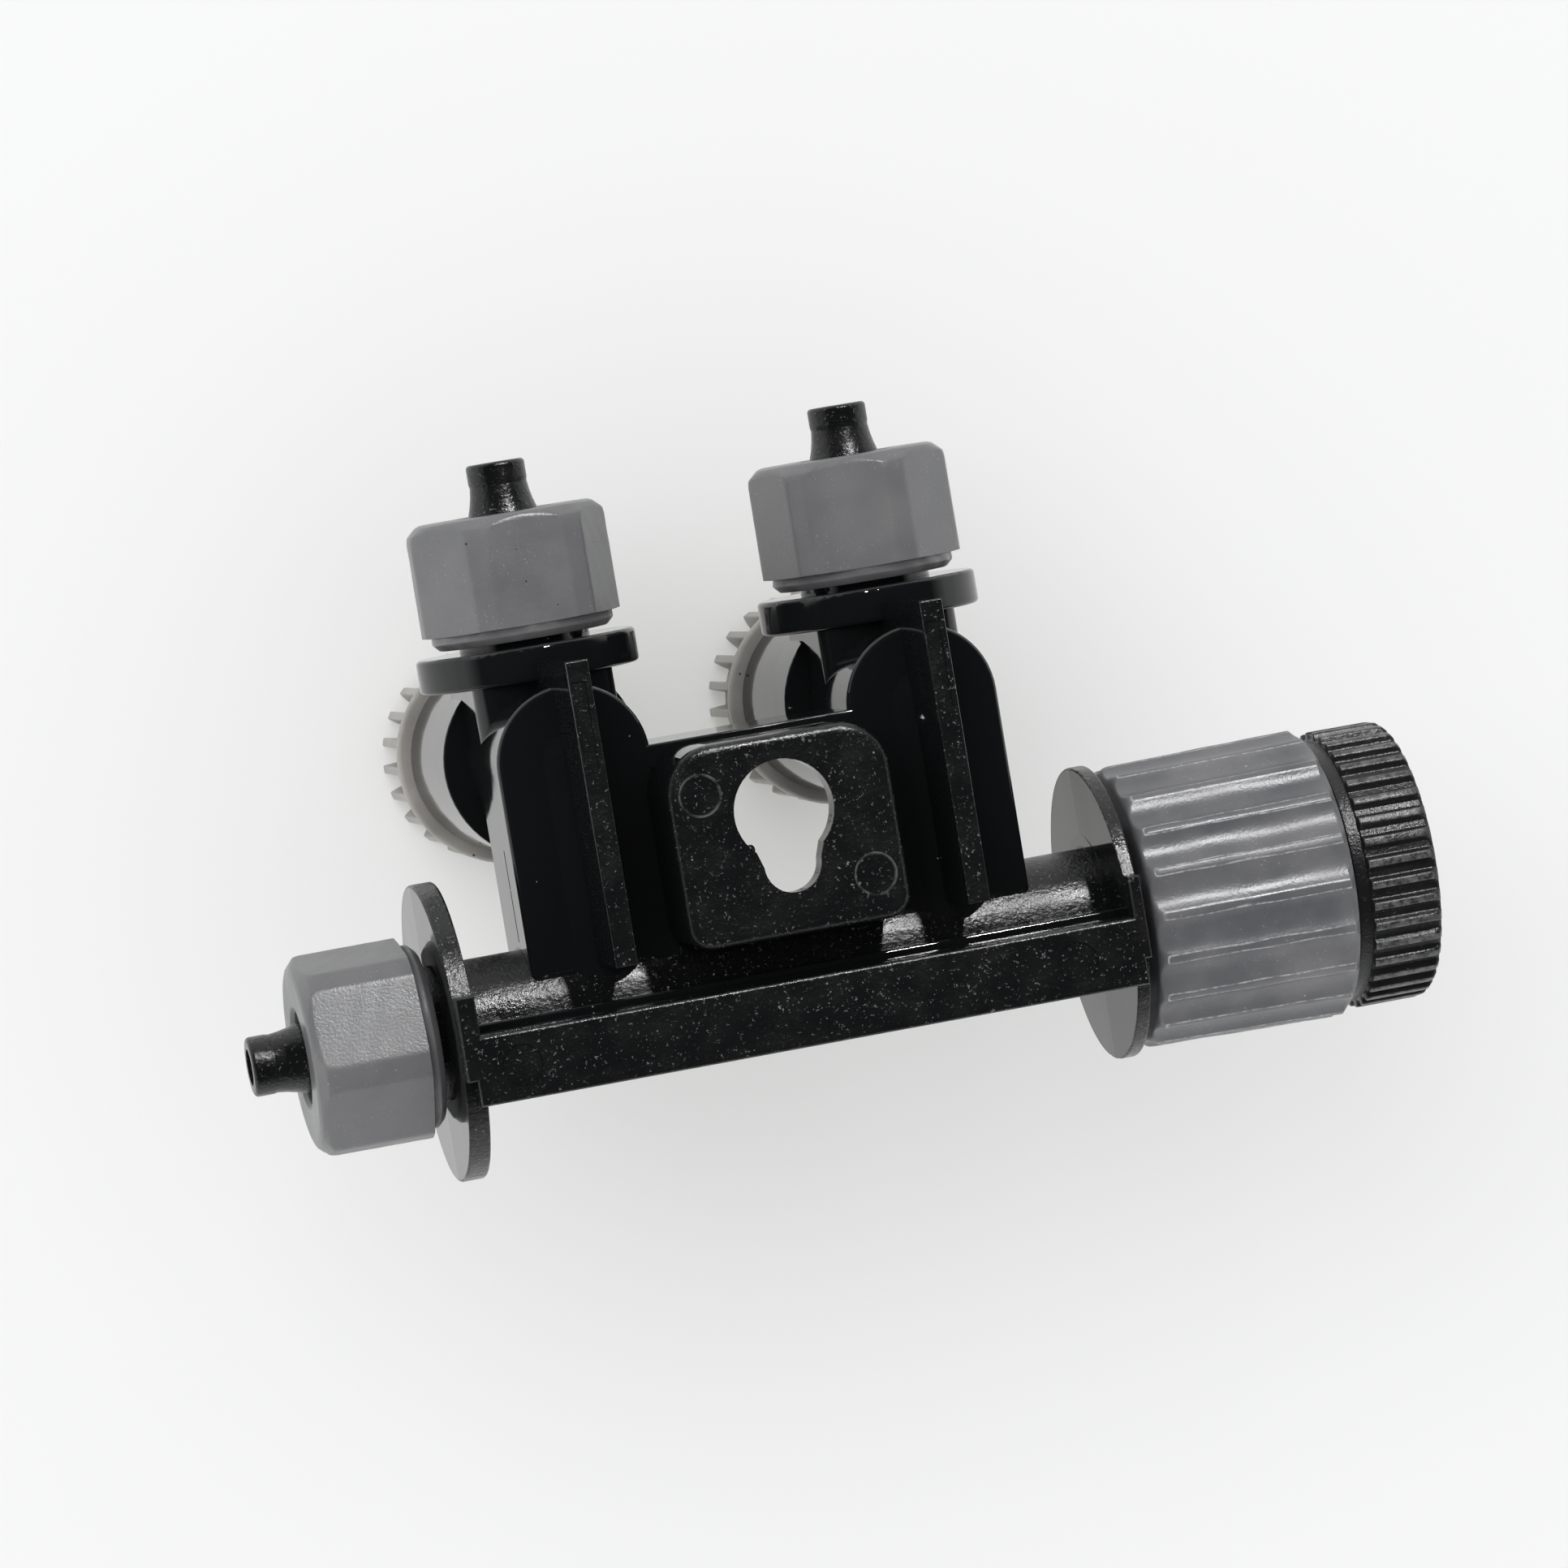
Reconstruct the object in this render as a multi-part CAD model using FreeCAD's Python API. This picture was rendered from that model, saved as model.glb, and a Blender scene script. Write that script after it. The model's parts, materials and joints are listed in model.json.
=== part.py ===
import FreeCAD, Part
import math
import os

from FreeCAD import Rotation, Vector

# Two-outlet air distributor for 4/6 mm aquarium hose, hung on a wall by a keyhole plate.
# All sizes are in mm. Working axes: X runs along the air tube from the inlet flange's outer
# face, Y runs towards the outlets, Z runs towards the wall. floor_step() at the end moves
# every piece by the same step, so that the origin is the bottom centre of the whole object.

X = Vector(1, 0, 0)
Y = Vector(0, 1, 0)
Z = Vector(0, 0, 1)

# Clearances
running_gap = 0.05
thread_gap = 0.08
face_gap = 0.20
seal_gap = 0.02
drive_gap = 0.03

# How far a cutting solid runs past the face it cuts, and a joined solid sinks into the next
past = 1.0
sunk = 0.1

# Air tube with its two round flanges and the flat bar along its wall side
tube_r = 4.95
tube_bore_r = 3.0
tube_bore_start_x = -3.5
inlet_flange_t = 1.75
end_margin = 11.0
end_flange_t = 1.2
flange_r = 11.0
flange_edge = 0.22
flange_draft = 0.13
wall_z = 12.0
pad_low_y = -2.9
pad_high_y = 3.2
pad_margin = 0.16
pad_edge = 0.12
bar_low_y = -4.8
bar_high_y = 0.2
bar_edge = 0.28
bar_step_z = 6.4
bar_step_w = 0.4
bar_step_edge = 0.2

# Valves and outlets
valve_count = 2
first_valve_x = 12.9
valve_pitch = 26.3
valve_y = 18.0
duct_half_w = 5.68
duct_front_z = 4.1
duct_back_z = -5.0
duct_edge = 0.45
duct_bore_r = 1.6
bulge_r = 2.3
bulge_rise = 0.55
seam_depth = 0.2
seam_w = 0.3
seam_z = 0.7
seam_low_gap = 0.6
neck_overlap = 0.5
barrel_r = 7.5
barrel_front_z = -9.65
barrel_len = 16.35
barrel_edge = 0.2
outlet_z = -9.2
neck_half_w = 5.3
neck_front_z = -2.6
neck_edge = 1.6
collar_low_y = 24.07
collar_t = 2.6
collar_r = 8.25
collar_edge = 0.35
gusset_w = 1.65
gusset_low_y = 3.3
gusset_edge = 0.12
gusset_top_y = 25.5
gusset_pocket_w = 1.05
gusset_pocket_inset = 0.15
gusset_pocket_low_y = 17.6
gusset_pocket_high_y = 24.0
gusset_pocket_depth = 0.12

# Keyhole boss and the shelf that joins it to the towers
boss_half_w = 8.3
boss_low_y = 3.3
boss_high_y = 17.95
boss_low_corner_r = 1.75
boss_high_corner_r = 3.6
boss_edge = 0.7
boss_plate_t = 2.0
boss_wall = 1.5
shelf_t = 1.6
shelf_top_y = 18.3
shelf_edge = 0.2
head_hole_r = 3.7
head_hole_y = 12.4
neck_hole_r = 2.12
neck_hole_y = 8.5
throat_flare = 0.55
throat_drop = 2.2
boss_inner_low_r = 0.6
boss_overlap = 0.5
mark_r = 1.5
mark_depth = 0.12
mark_inset_x = 2.4
mark_high_inset_y = 3.5
mark_low_inset_y = 3.4
bar_mark_inlet_gap = 2.5
bar_mark_end_gap = 4.5

# Hose fitting, measured from the face it grows from
spigot_r = 4.9
spigot_len = 5.6
thread_pitch = 1.5
thread_depth = 0.55
stem_root_r = 3.1
stem_nut_r = 2.6
stem_waist_r = 2.14
stem_tip_r = 2.2
stem_waist_at = 12.0
stem_land_at = 12.3
stem_len = 13.7
stem_round = 0.3
stem_bore_r = 1.35

# Hose nut
nut_gap = 0.45
nut_skirt_h = 1.05
nut_skirt_r = 6.8
nut_skirt_chamfer = 0.5
nut_len = 9.45
nut_flat_half = 6.85
nut_corner_r = 7.5
nut_round = 1.2
nut_hole_r = 3.55
nut_mouth_r = 3.8
nut_cone_len = 2.2
nut_top_wall = 1.5
inlet_nut_turn = 18.7
outlet_nut_turns = (32.0, 16.0)
nut_outline_spare = 0.05
nut_skirt_overlap = 0.2
thread_flank_share = 0.3
stem_flare_bulge = 0.12
stem_flare_shift = 0.2

# Coupling nut, its snap ring and the end plug
coupling_gap = 0.9
coupling_len = 15.4
ring_room = 1.1
coupling_draft = 0.3
coupling_round = 0.9
coupling_chamfer = 0.45
coupling_end_wall = 1.9
coupling_thread_wall = 2.4
flute_count = 20
flute_depth = 0.5
flute_r = 2.6
end_spigot_r = 6.0
end_spigot_len = 10.6
end_spigot_chamfer = 0.4
end_bore_r = 3.2
end_bore_len = 8.5
ring_groove_w = 1.1
ring_groove_depth = 0.55
ring_height = 1.4
ring_opening_deg = 50.0
ring_side_gap = 0.05
plug_band_drop = 0.2
plug_band_w = 1.0
plug_head_len = 6.5
plug_crest_drop = 0.4
plug_rib_depth = 0.55
plug_round = 0.75
plug_rib_count = 40
plug_rib_share = 0.52
plug_gap_root_share = 0.8
plug_gap_crest_share = 1.25
plug_thread_len = 6.6
plug_core_gap = 0.5
plug_core_len = 4.0
plug_pin_len = 5.0
plug_pin_chamfer = 0.4
plug_seal_inset = 1.6
plug_face_recess = 3.4
plug_recess_r = 7.6
plug_recess_draft = 0.3

# Needle valve pieces
orifice_r = 1.4
seat_front_z = -4.6
seat_r = 2.4
chamber_r = 3.2
socket_len = 8.2
socket_wall = 2.6
slot_half_w = 0.85
slot_wall = 1.5
gland_t = 1.7
needle_nose_r = 0.6
needle_neck_r = 1.8
needle_neck_len = 0.3
needle_cone_len = 0.8
wing_t = 1.6
seal_groove_w = 1.3
seal_depth = 1.1
valve_thread_pitch = 1.25
valve_turns = 2.75
screw_r = 1.5
screw_groove = 0.25
screw_reach = 2.4
screw_collar_r = 3.3
screw_collar_t = 0.6
screw_journal_r = 2.0
screw_drive_len = 5.2
screw_flat = 1.4
screw_flat_start = 0.3
screw_tip_chamfer = 0.3
screw_flat_reach = 3.0
washer_t = 0.4
washer_r = 3.4
washer_gap = 0.05
gland_chamfer = 0.3

# Valve knob
knob_rim_r = 8.4
knob_rim_t = 1.2
knob_tip_r = 8.35
knob_root_r = 6.85
knob_len = 9.75
knob_teeth = 24
knob_tooth_half = 0.42
knob_edge = 0.4
knob_rim_edge = 0.3
knob_tooth_root_share = 1.35
knob_tooth_round = 0.35
knob_tooth_sink = 0.3
knob_envelope_spare = 0.1
knob_wall = 1.05
knob_end_wall = 1.7
knob_hub_r = 3.6
knob_web_t = 1.5
knob_recess_r = 2.3
fixing_head_r = 1.95
fixing_head_h = 1.3
fixing_shank_r = 0.8
fixing_shank_len = 5.5
fixing_hole_r = 1.1
fixing_slot_w = 0.5
fixing_slot_depth = 0.6
fixing_slot_reach = 1.4
fixing_head_edge = 0.5
fixing_hole_spare = 0.3
fixing_overlap = 0.2

# Worked out from the values above: places along the tube
valve_places = [first_valve_x + index * valve_pitch for index in range(valve_count)]
collar_top_y = collar_low_y + collar_t
boss_x = (valve_places[0] + valve_places[-1]) / 2
end_flange_x = valve_places[-1] + end_margin
end_face_x = end_flange_x + end_flange_t
end_spigot_end_x = end_face_x + end_spigot_len
end_bore_start_x = end_spigot_end_x - end_bore_len
coupling_start_x = end_face_x + coupling_gap
coupling_end_x = coupling_start_x + coupling_len
ring_groove_x = coupling_start_x + coupling_end_wall + face_gap
ring_groove_r = end_spigot_r - ring_groove_depth
ring_outer_r = end_spigot_r + ring_height
coupling_thread_r = ring_outer_r + ring_room
coupling_r = coupling_thread_r + coupling_thread_wall
plug_crest_r = coupling_r - plug_crest_drop
plug_root_r = plug_crest_r - plug_rib_depth
plug_band_r = plug_root_r - plug_band_drop
plug_end_x = coupling_end_x + plug_head_len
plug_pin_start_x = end_spigot_end_x - plug_pin_len
plug_seal_x = plug_pin_start_x + plug_seal_inset
plug_inner_r = end_spigot_r + plug_core_gap
plug_pin_r = end_bore_r - running_gap * 2
plug_groove_r = end_bore_r - seal_depth

# Worked out from the values above: places along a valve, from the seat to the knob's end
barrel_back_z = barrel_front_z - barrel_len
chamber_back_z = barrel_back_z + socket_len
socket_r = barrel_r - socket_wall
slot_r = barrel_r - slot_wall
seat_back_z = seat_front_z - (seat_r - orifice_r)
valve_travel = valve_thread_pitch * valve_turns
gland_front_z = barrel_back_z + gland_t
gland_bore_r = screw_journal_r + running_gap
washer_front_z = gland_front_z + running_gap + washer_t
collar_back_z = washer_front_z + running_gap
collar_front_z = collar_back_z + screw_collar_t
piston_front_z = outlet_z - stem_bore_r - running_gap
needle_wing_z = chamber_back_z - face_gap
needle_back_z = needle_wing_z - wing_t
seal_groove_z = chamber_back_z + valve_travel + face_gap * 2 + seal_groove_w / 2
screw_tip_z = chamber_back_z + screw_reach
needle_bore_end_z = screw_tip_z + valve_travel + face_gap
knob_front_z = barrel_back_z - face_gap - running_gap
knob_back_z = knob_front_z - knob_len
screw_end_z = knob_front_z - screw_drive_len


def cylinder(radius, start, end):
    axis = end - start
    return Part.makeCylinder(radius, axis.Length, start, axis)


def box(x_low, x_high, y_low, y_high, z_low, z_high):
    return Part.makeBox(x_high - x_low, y_high - y_low, z_high - z_low, Vector(x_low, y_low, z_low))


def turned(points):
    # Solid of revolution about Z from (radius, height) points; three-value points are the
    # middle of an arc that ends at the next point.
    edges = []
    start = points[0]
    middle = None
    for point in list(points[1:]) + [points[0]]:
        if len(point) == 3:
            middle = point
            continue
        a = Vector(start[0], 0, start[1])
        b = Vector(point[0], 0, point[1])
        if middle is None:
            edges.append(Part.LineSegment(a, b).toShape())
        else:
            edges.append(Part.Arc(a, Vector(middle[0], 0, middle[1]), b).toShape())
        start = point
        middle = None
    face = Part.Face(Part.Wire(edges))
    return face.revolve(Vector(0, 0, 0), Z, 360)


def corner(radius_at, height_at, size, r_sign, z_sign):
    # Quarter-round at the outer corner (radius_at, height_at) of a turned profile: the start
    # point, the middle of the arc and the end point, going round from the side to the end.
    reach = size * (1 - math.sqrt(0.5))
    return [
        (radius_at, height_at - z_sign * size),
        (radius_at - r_sign * reach, height_at - z_sign * reach, "arc"),
        (radius_at - r_sign * size, height_at),
    ]


def aimed(shape, origin, direction, spin=0.0):
    # Turns a shape made along +Z to point along direction, with spin about its own axis.
    rotation = Rotation(Z, direction).multiply(Rotation(Z, spin))
    moved = shape.copy()
    moved.Placement = FreeCAD.Placement(origin, rotation).multiply(moved.Placement)
    return moved


def fused(shapes):
    return shapes[0].multiFuse(shapes[1:]).removeSplitter()


def round_edges(shape, size, chosen):
    edges = [edge for edge in shape.Edges if chosen(edge)]
    return shape.makeFillet(size, edges)


def lies_at_z(edge, height):
    return all(abs(vertex.Z - height) < 1e-6 for vertex in edge.Vertexes)


def slab(outline, z_low, z_high):
    # Prism over a closed outline drawn in XY: straight (x, y) points and arc middles as in turned().
    edges = []
    start = outline[0]
    middle = None
    for point in list(outline[1:]) + [outline[0]]:
        if len(point) == 3:
            middle = point
            continue
        a = Vector(start[0], start[1], z_low)
        b = Vector(point[0], point[1], z_low)
        if middle is None:
            edges.append(Part.LineSegment(a, b).toShape())
        else:
            edges.append(Part.Arc(a, Vector(middle[0], middle[1], z_low), b).toShape())
        start = point
        middle = None
    return Part.Face(Part.Wire(edges)).extrude(Vector(0, 0, z_high - z_low))


def thread_profile(radius, start, length, pitch, depth):
    # Side of a thread drawn as V rings, from start to start + length along the axis.
    points = [(radius, start)]
    count = int((length - pitch) / pitch)
    for index in range(count):
        crest = start + pitch * (index + 1)
        points.append((radius, crest - pitch * thread_flank_share))
        points.append((radius - depth, crest))
        points.append((radius, crest + pitch * thread_flank_share))
    points.append((radius, start + length))
    return points


def hose_spigot():
    # Threaded spigot and waisted hose stem along +Z from the face at height 0.
    side = thread_profile(spigot_r, 0.0, spigot_len, thread_pitch, thread_depth)
    nut_end = nut_gap + nut_len
    tip = corner(stem_tip_r, stem_len, stem_round, 1, 1)
    flare_mid = (stem_waist_r + stem_flare_bulge, (nut_end + stem_waist_at) / 2 + stem_flare_shift, "arc")
    profile = [(0, -past), (spigot_r, -past)] + side
    profile += [(stem_root_r, spigot_len), (stem_nut_r, nut_end), flare_mid]
    profile += [(stem_waist_r, stem_waist_at), (stem_tip_r, stem_land_at)] + tip + [(0, stem_len)]
    return turned(profile)


def hose_nut():
    # Six broad flats with narrow flats across the corners, a round skirt and a rounded outer end.
    low = nut_gap
    shoulder = low + nut_skirt_h
    top = low + nut_len
    flats = Part.Face(Part.Wire(Part.makePolygon(nut_outline()))).extrude(Vector(0, 0, nut_len))
    flats.translate(Vector(0, 0, low))
    outline_r = nut_corner_r + nut_outline_spare
    end_round = corner(outline_r, top, nut_round, 1, 1)
    envelope = turned([(0, shoulder), (outline_r, shoulder)] + end_round + [(0, top)])
    skirt_low_r = nut_skirt_r - nut_skirt_chamfer
    skirt_top = shoulder + nut_skirt_overlap
    skirt = turned([(0, low), (skirt_low_r, low), (nut_skirt_r, low + nut_skirt_chamfer),
                    (nut_skirt_r, skirt_top), (0, skirt_top)])
    bore_r = spigot_r + thread_gap
    cone_top = top - nut_top_wall
    hollow = turned([(0, low - past), (bore_r, low - past), (bore_r, cone_top - nut_cone_len),
                     (nut_hole_r, cone_top), (nut_hole_r, top - (nut_mouth_r - nut_hole_r)),
                     (nut_mouth_r, top), (nut_mouth_r, top + past), (0, top + past)])
    return fused([flats.common(envelope), skirt]).cut(hollow)


def nut_outline():
    # Corner points of the twelve-sided nut: broad flats at nut_flat_half, corners at nut_corner_r.
    half_angle = math.acos(nut_flat_half / nut_corner_r)
    points = []
    for side in range(6):
        middle = side * math.pi / 3
        for angle in (middle - half_angle, middle + half_angle):
            points.append(Vector(nut_corner_r * math.cos(angle), nut_corner_r * math.sin(angle), 0))
    points.append(points[0])
    return points


def round_flange(x_low, x_high):
    # Disc that is thickest along its parting line at height 0 and thins towards both sides.
    x_middle = (x_low + x_high) / 2
    blank = cylinder(flange_r, Vector(x_low, 0, 0), Vector(x_high, 0, 0))
    blank = round_edges(blank, flange_edge, lambda edge: len(edge.Vertexes) == 1)
    section = [(x_low, 0), (x_low + flange_draft, flange_r), (x_high - flange_draft, flange_r),
               (x_high, 0), (x_high - flange_draft, -flange_r), (x_low + flange_draft, -flange_r)]
    corners = [Vector(x, -flange_r, z) for x, z in section + section[:1]]
    wedge = Part.Face(Part.Wire(Part.makePolygon(corners))).extrude(Vector(0, 2 * flange_r, 0))
    hub = cylinder(spigot_r, Vector(x_middle, 0, 0), Vector(x_low, 0, 0))
    pad = box(x_low + pad_margin, x_high - pad_margin, pad_low_y, pad_high_y, 0, wall_z)
    pad = pad.makeChamfer(pad_edge, [edge for edge in pad.Edges if lies_at_z(edge, wall_z)])
    return [blank.common(wedge), hub, pad]


def wall_bar():
    # Flat bar, with a low step along its upper side where it meets the tube.
    x_low = inlet_flange_t / 2
    x_high = end_face_x - end_flange_t / 2
    bar = box(x_low, x_high, bar_low_y, bar_high_y, 0, wall_z)
    bar = bar.makeFillet(bar_edge, [edge for edge in bar.Edges if lies_at_z(edge, wall_z)])
    step = box(x_low, x_high, 0, bar_high_y + bar_step_w, 0, bar_step_z)
    step = step.makeFillet(bar_step_edge, [edge for edge in step.Edges if lies_at_z(edge, bar_step_z)])
    return [bar, step]


def duct(x):
    # Arched air duct from the tube up to the valve seat, its low half-round bulge, and the
    # round valve chamber behind the arch.
    left = x - duct_half_w
    right = x + duct_half_w
    arch = slab([(left, 0), (right, 0), (right, valve_y), (x, valve_y + duct_half_w, "arc"),
                 (left, valve_y)], duct_back_z, duct_front_z)
    arch = round_edges(arch, duct_edge, lambda edge: lies_at_z(edge, duct_front_z)
                       and edge.BoundBox.YMax > duct_edge)
    chamber = cylinder(duct_half_w, Vector(x, valve_y, duct_back_z),
                       Vector(x, valve_y, barrel_front_z - past))
    sphere_r = (bulge_r ** 2 + bulge_rise ** 2) / (2 * bulge_rise)
    centre_z = duct_front_z + bulge_rise - sphere_r
    dome = Part.makeSphere(sphere_r, Vector(x, valve_y, centre_z))
    roll = cylinder(sphere_r, Vector(x, 0, centre_z), Vector(x, valve_y, centre_z))
    window = box(x - bulge_r, x + bulge_r, 0, valve_y + bulge_r,
                 duct_front_z - sunk, duct_front_z + bulge_rise)
    bulge = fused([dome, roll]).common(window)
    return [arch, chamber, bulge]


def seam(x, side):
    # Narrow parting groove down one flank of a duct.
    edge_x = x + side * duct_half_w
    return box(edge_x - seam_depth, edge_x + seam_depth, tube_r + seam_low_gap, valve_y - duct_half_w,
               seam_z - seam_w / 2, seam_z + seam_w / 2)


def neck_and_collar(x):
    back_z = 2 * outlet_z - neck_front_z
    neck = box(x - neck_half_w, x + neck_half_w, valve_y, collar_low_y + neck_overlap,
               back_z, neck_front_z)
    neck = round_edges(neck, neck_edge, lambda edge: edge.BoundBox.YLength > neck_edge)
    collar = cylinder(collar_r, Vector(x, collar_low_y, outlet_z), Vector(x, collar_top_y, outlet_z))
    collar = round_edges(collar, collar_edge, lambda edge: len(edge.Vertexes) == 1)
    return [neck, collar]


def barrel(x):
    tube = cylinder(barrel_r, Vector(x, valve_y, barrel_back_z), Vector(x, valve_y, barrel_front_z))
    return round_edges(tube, barrel_edge, lambda edge: len(edge.Vertexes) == 1)


def gusset(x):
    # Thin rib from the bar up to the collar, with a shallow smooth pocket in its wall-side edge.
    rib = box(x - gusset_w / 2, x + gusset_w / 2, gusset_low_y, gusset_top_y, outlet_z, wall_z)
    rib = round_edges(rib, gusset_edge, lambda edge: lies_at_z(edge, wall_z))
    pocket_left = x - gusset_w / 2 + gusset_pocket_inset
    pocket = box(pocket_left, pocket_left + gusset_pocket_w, gusset_pocket_low_y, gusset_pocket_high_y,
                 wall_z - gusset_pocket_depth, wall_z + past)
    return rib.cut(pocket)


def rounded_panel(half_w, low_y, high_y, low_r, high_r, z_low, z_high):
    # Upright rectangle centred on boss_x with its own corner radius at the bottom and the top.
    k = 1 - math.sqrt(0.5)
    left = boss_x - half_w
    right = boss_x + half_w
    outline = [
        (left + low_r, low_y), (right - low_r, low_y),
        (right - k * low_r, low_y + k * low_r, "arc"), (right, low_y + low_r),
        (right, high_y - high_r),
        (right - k * high_r, high_y - k * high_r, "arc"), (right - high_r, high_y),
        (left + high_r, high_y),
        (left + k * high_r, high_y - k * high_r, "arc"), (left, high_y - high_r),
        (left, low_y + low_r),
        (left + k * low_r, low_y + k * low_r, "arc"),
    ]
    return slab(outline, z_low, z_high)


def keyhole_boss():
    boss = rounded_panel(boss_half_w, boss_low_y, boss_high_y, boss_low_corner_r, boss_high_corner_r,
                         duct_front_z - boss_overlap, wall_z)
    boss = round_edges(boss, boss_edge, lambda edge: lies_at_z(edge, wall_z))
    shelf = box(valve_places[0], valve_places[-1], shelf_top_y - shelf_t, shelf_top_y,
                duct_back_z, duct_front_z)
    shelf = round_edges(shelf, shelf_edge, lambda edge: edge.BoundBox.YMin > shelf_top_y - shelf_edge
                        and edge.BoundBox.XLength > shelf_t)
    return [boss, shelf]


def keyhole_hollow():
    # Room behind the keyhole plate, open at the back, and the keyhole itself.
    inner = boss_half_w - boss_wall
    pocket = rounded_panel(inner, tube_r, shelf_top_y - shelf_t, boss_inner_low_r,
                           boss_high_corner_r - boss_wall, duct_back_z - past, wall_z - boss_plate_t)
    between = box(valve_places[0] + duct_half_w, valve_places[-1] - duct_half_w, 0, shelf_top_y - shelf_t,
                  duct_back_z - past, duct_front_z)
    pocket = pocket.common(fused([between, box(boss_x - inner, boss_x + inner, 0, valve_y,
                                               duct_front_z, wall_z)]))
    low = wall_z - boss_plate_t - past
    high = wall_z + past
    head = cylinder(head_hole_r, Vector(boss_x, head_hole_y, low), Vector(boss_x, head_hole_y, high))
    shank = cylinder(neck_hole_r, Vector(boss_x, neck_hole_y, low), Vector(boss_x, neck_hole_y, high))
    half_top = neck_hole_r + throat_flare
    throat_y = head_hole_y - throat_drop
    throat = slab([(boss_x - neck_hole_r, neck_hole_y), (boss_x + neck_hole_r, neck_hole_y),
                   (boss_x + half_top, throat_y), (boss_x - half_top, throat_y)], low, high)
    return fused([head, shank, throat]), pocket


def ejector_marks():
    boss_left = boss_x - boss_half_w + mark_inset_x
    boss_right = boss_x + boss_half_w - mark_inset_x
    bar_y = (bar_low_y + bar_high_y) / 2
    places = [(boss_left, boss_high_y - mark_high_inset_y), (boss_right, boss_low_y + mark_low_inset_y),
              (inlet_flange_t + bar_mark_inlet_gap, bar_y), (end_flange_x - bar_mark_end_gap, bar_y)]
    return [cylinder(mark_r, Vector(x, y, wall_z - mark_depth), Vector(x, y, wall_z + past))
            for x, y in places]


def valve_bores(x):
    centre = Vector(x, valve_y, 0)
    rise = cylinder(duct_bore_r, Vector(x, 0, 0), Vector(x, valve_y, 0))
    orifice = cylinder(orifice_r, centre, Vector(x, valve_y, seat_front_z))
    seat = Part.makeCone(orifice_r, seat_r, seat_front_z - seat_back_z,
                         Vector(x, valve_y, seat_front_z), Vector(0, 0, -1))
    chamber = cylinder(chamber_r, Vector(x, valve_y, seat_back_z),
                       Vector(x, valve_y, chamber_back_z - sunk))
    socket = cylinder(socket_r, Vector(x, valve_y, chamber_back_z),
                      Vector(x, valve_y, barrel_back_z - past))
    slots = box(x - slot_r, x + slot_r, valve_y - slot_half_w, valve_y + slot_half_w,
                gland_front_z, chamber_back_z)
    outlet = cylinder(stem_bore_r, Vector(x, valve_y, outlet_z),
                      Vector(x, collar_top_y + stem_len + past, outlet_z))
    return [rise, orifice, seat, chamber, socket, slots, outlet]


def end_spigot():
    # Smooth end of the tube that carries the coupling nut and its snap ring.
    outer = cylinder(end_spigot_r, Vector(end_flange_x, 0, 0), Vector(end_spigot_end_x, 0, 0))
    tip_edges = [edge for edge in outer.Edges
                 if len(edge.Vertexes) == 1 and edge.BoundBox.XMin > end_spigot_end_x - end_spigot_chamfer]
    outer = outer.makeChamfer(end_spigot_chamfer, tip_edges)
    groove_end_x = ring_groove_x + ring_groove_w
    groove = cylinder(end_spigot_r + past, Vector(ring_groove_x, 0, 0), Vector(groove_end_x, 0, 0))
    groove = groove.cut(cylinder(ring_groove_r, Vector(ring_groove_x - past, 0, 0),
                                 Vector(groove_end_x + past, 0, 0)))
    return outer.cut(groove)


def manifold_body():
    solids = [cylinder(tube_r, Vector(0, 0, 0), Vector(end_face_x, 0, 0))]
    solids += round_flange(0, inlet_flange_t)
    solids += round_flange(end_flange_x, end_face_x)
    solids += wall_bar()
    solids += keyhole_boss()
    solids.append(end_spigot())
    solids.append(aimed(hose_spigot(), Vector(0, 0, 0), Vector(-1, 0, 0)))
    for x in valve_places:
        solids += duct(x)
        solids += neck_and_collar(x)
        solids.append(barrel(x))
        solids.append(gusset(x))
        solids.append(aimed(hose_spigot(), Vector(x, collar_top_y, outlet_z), Y))
    keyhole, pocket = keyhole_hollow()
    cuts = [keyhole, pocket] + ejector_marks()
    cuts.append(cylinder(tube_bore_r, Vector(tube_bore_start_x, 0, 0),
                         Vector(end_bore_start_x + sunk, 0, 0)))
    cuts.append(cylinder(end_bore_r, Vector(end_bore_start_x, 0, 0),
                         Vector(end_spigot_end_x + past, 0, 0)))
    cuts.append(cylinder(stem_bore_r, Vector(-stem_len - past, 0, 0),
                         Vector(tube_bore_start_x + sunk, 0, 0)))
    for x in valve_places:
        cuts += valve_bores(x)
        cuts += [seam(x, -1), seam(x, 1)]
    return fused(solids).cut(fused(cuts)).removeSplitter()


def coupling_nut():
    length = coupling_len
    start_r = coupling_r - coupling_draft
    round_middle = coupling_round * (1 - math.sqrt(0.5))
    start_round = [(start_r - coupling_round, 0), (start_r - round_middle, round_middle, "arc"),
                   (start_r, coupling_round)]
    outer = turned([(0, 0)] + start_round + [(coupling_r, length - coupling_chamfer),
                   (coupling_r - coupling_chamfer, length), (0, length)])
    flutes = []
    reach = coupling_r - flute_depth + flute_r
    for index in range(flute_count):
        angle = 2 * math.pi * (index + 0.5) / flute_count
        foot_reach = reach - coupling_draft
        foot = Vector(foot_reach * math.cos(angle), foot_reach * math.sin(angle), -past)
        head = Vector(reach * math.cos(angle), reach * math.sin(angle), length + past)
        flutes.append(cylinder(flute_r, foot, head))
    bore_r = end_spigot_r + running_gap
    bore = turned([(0, -past), (bore_r, -past), (bore_r, coupling_end_wall),
                   (coupling_thread_r, coupling_end_wall), (coupling_thread_r, length + past),
                   (0, length + past)])
    nut = outer.cut(Part.makeCompound(flutes)).cut(bore)
    return aimed(nut, Vector(coupling_start_x, 0, 0), X)


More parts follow.
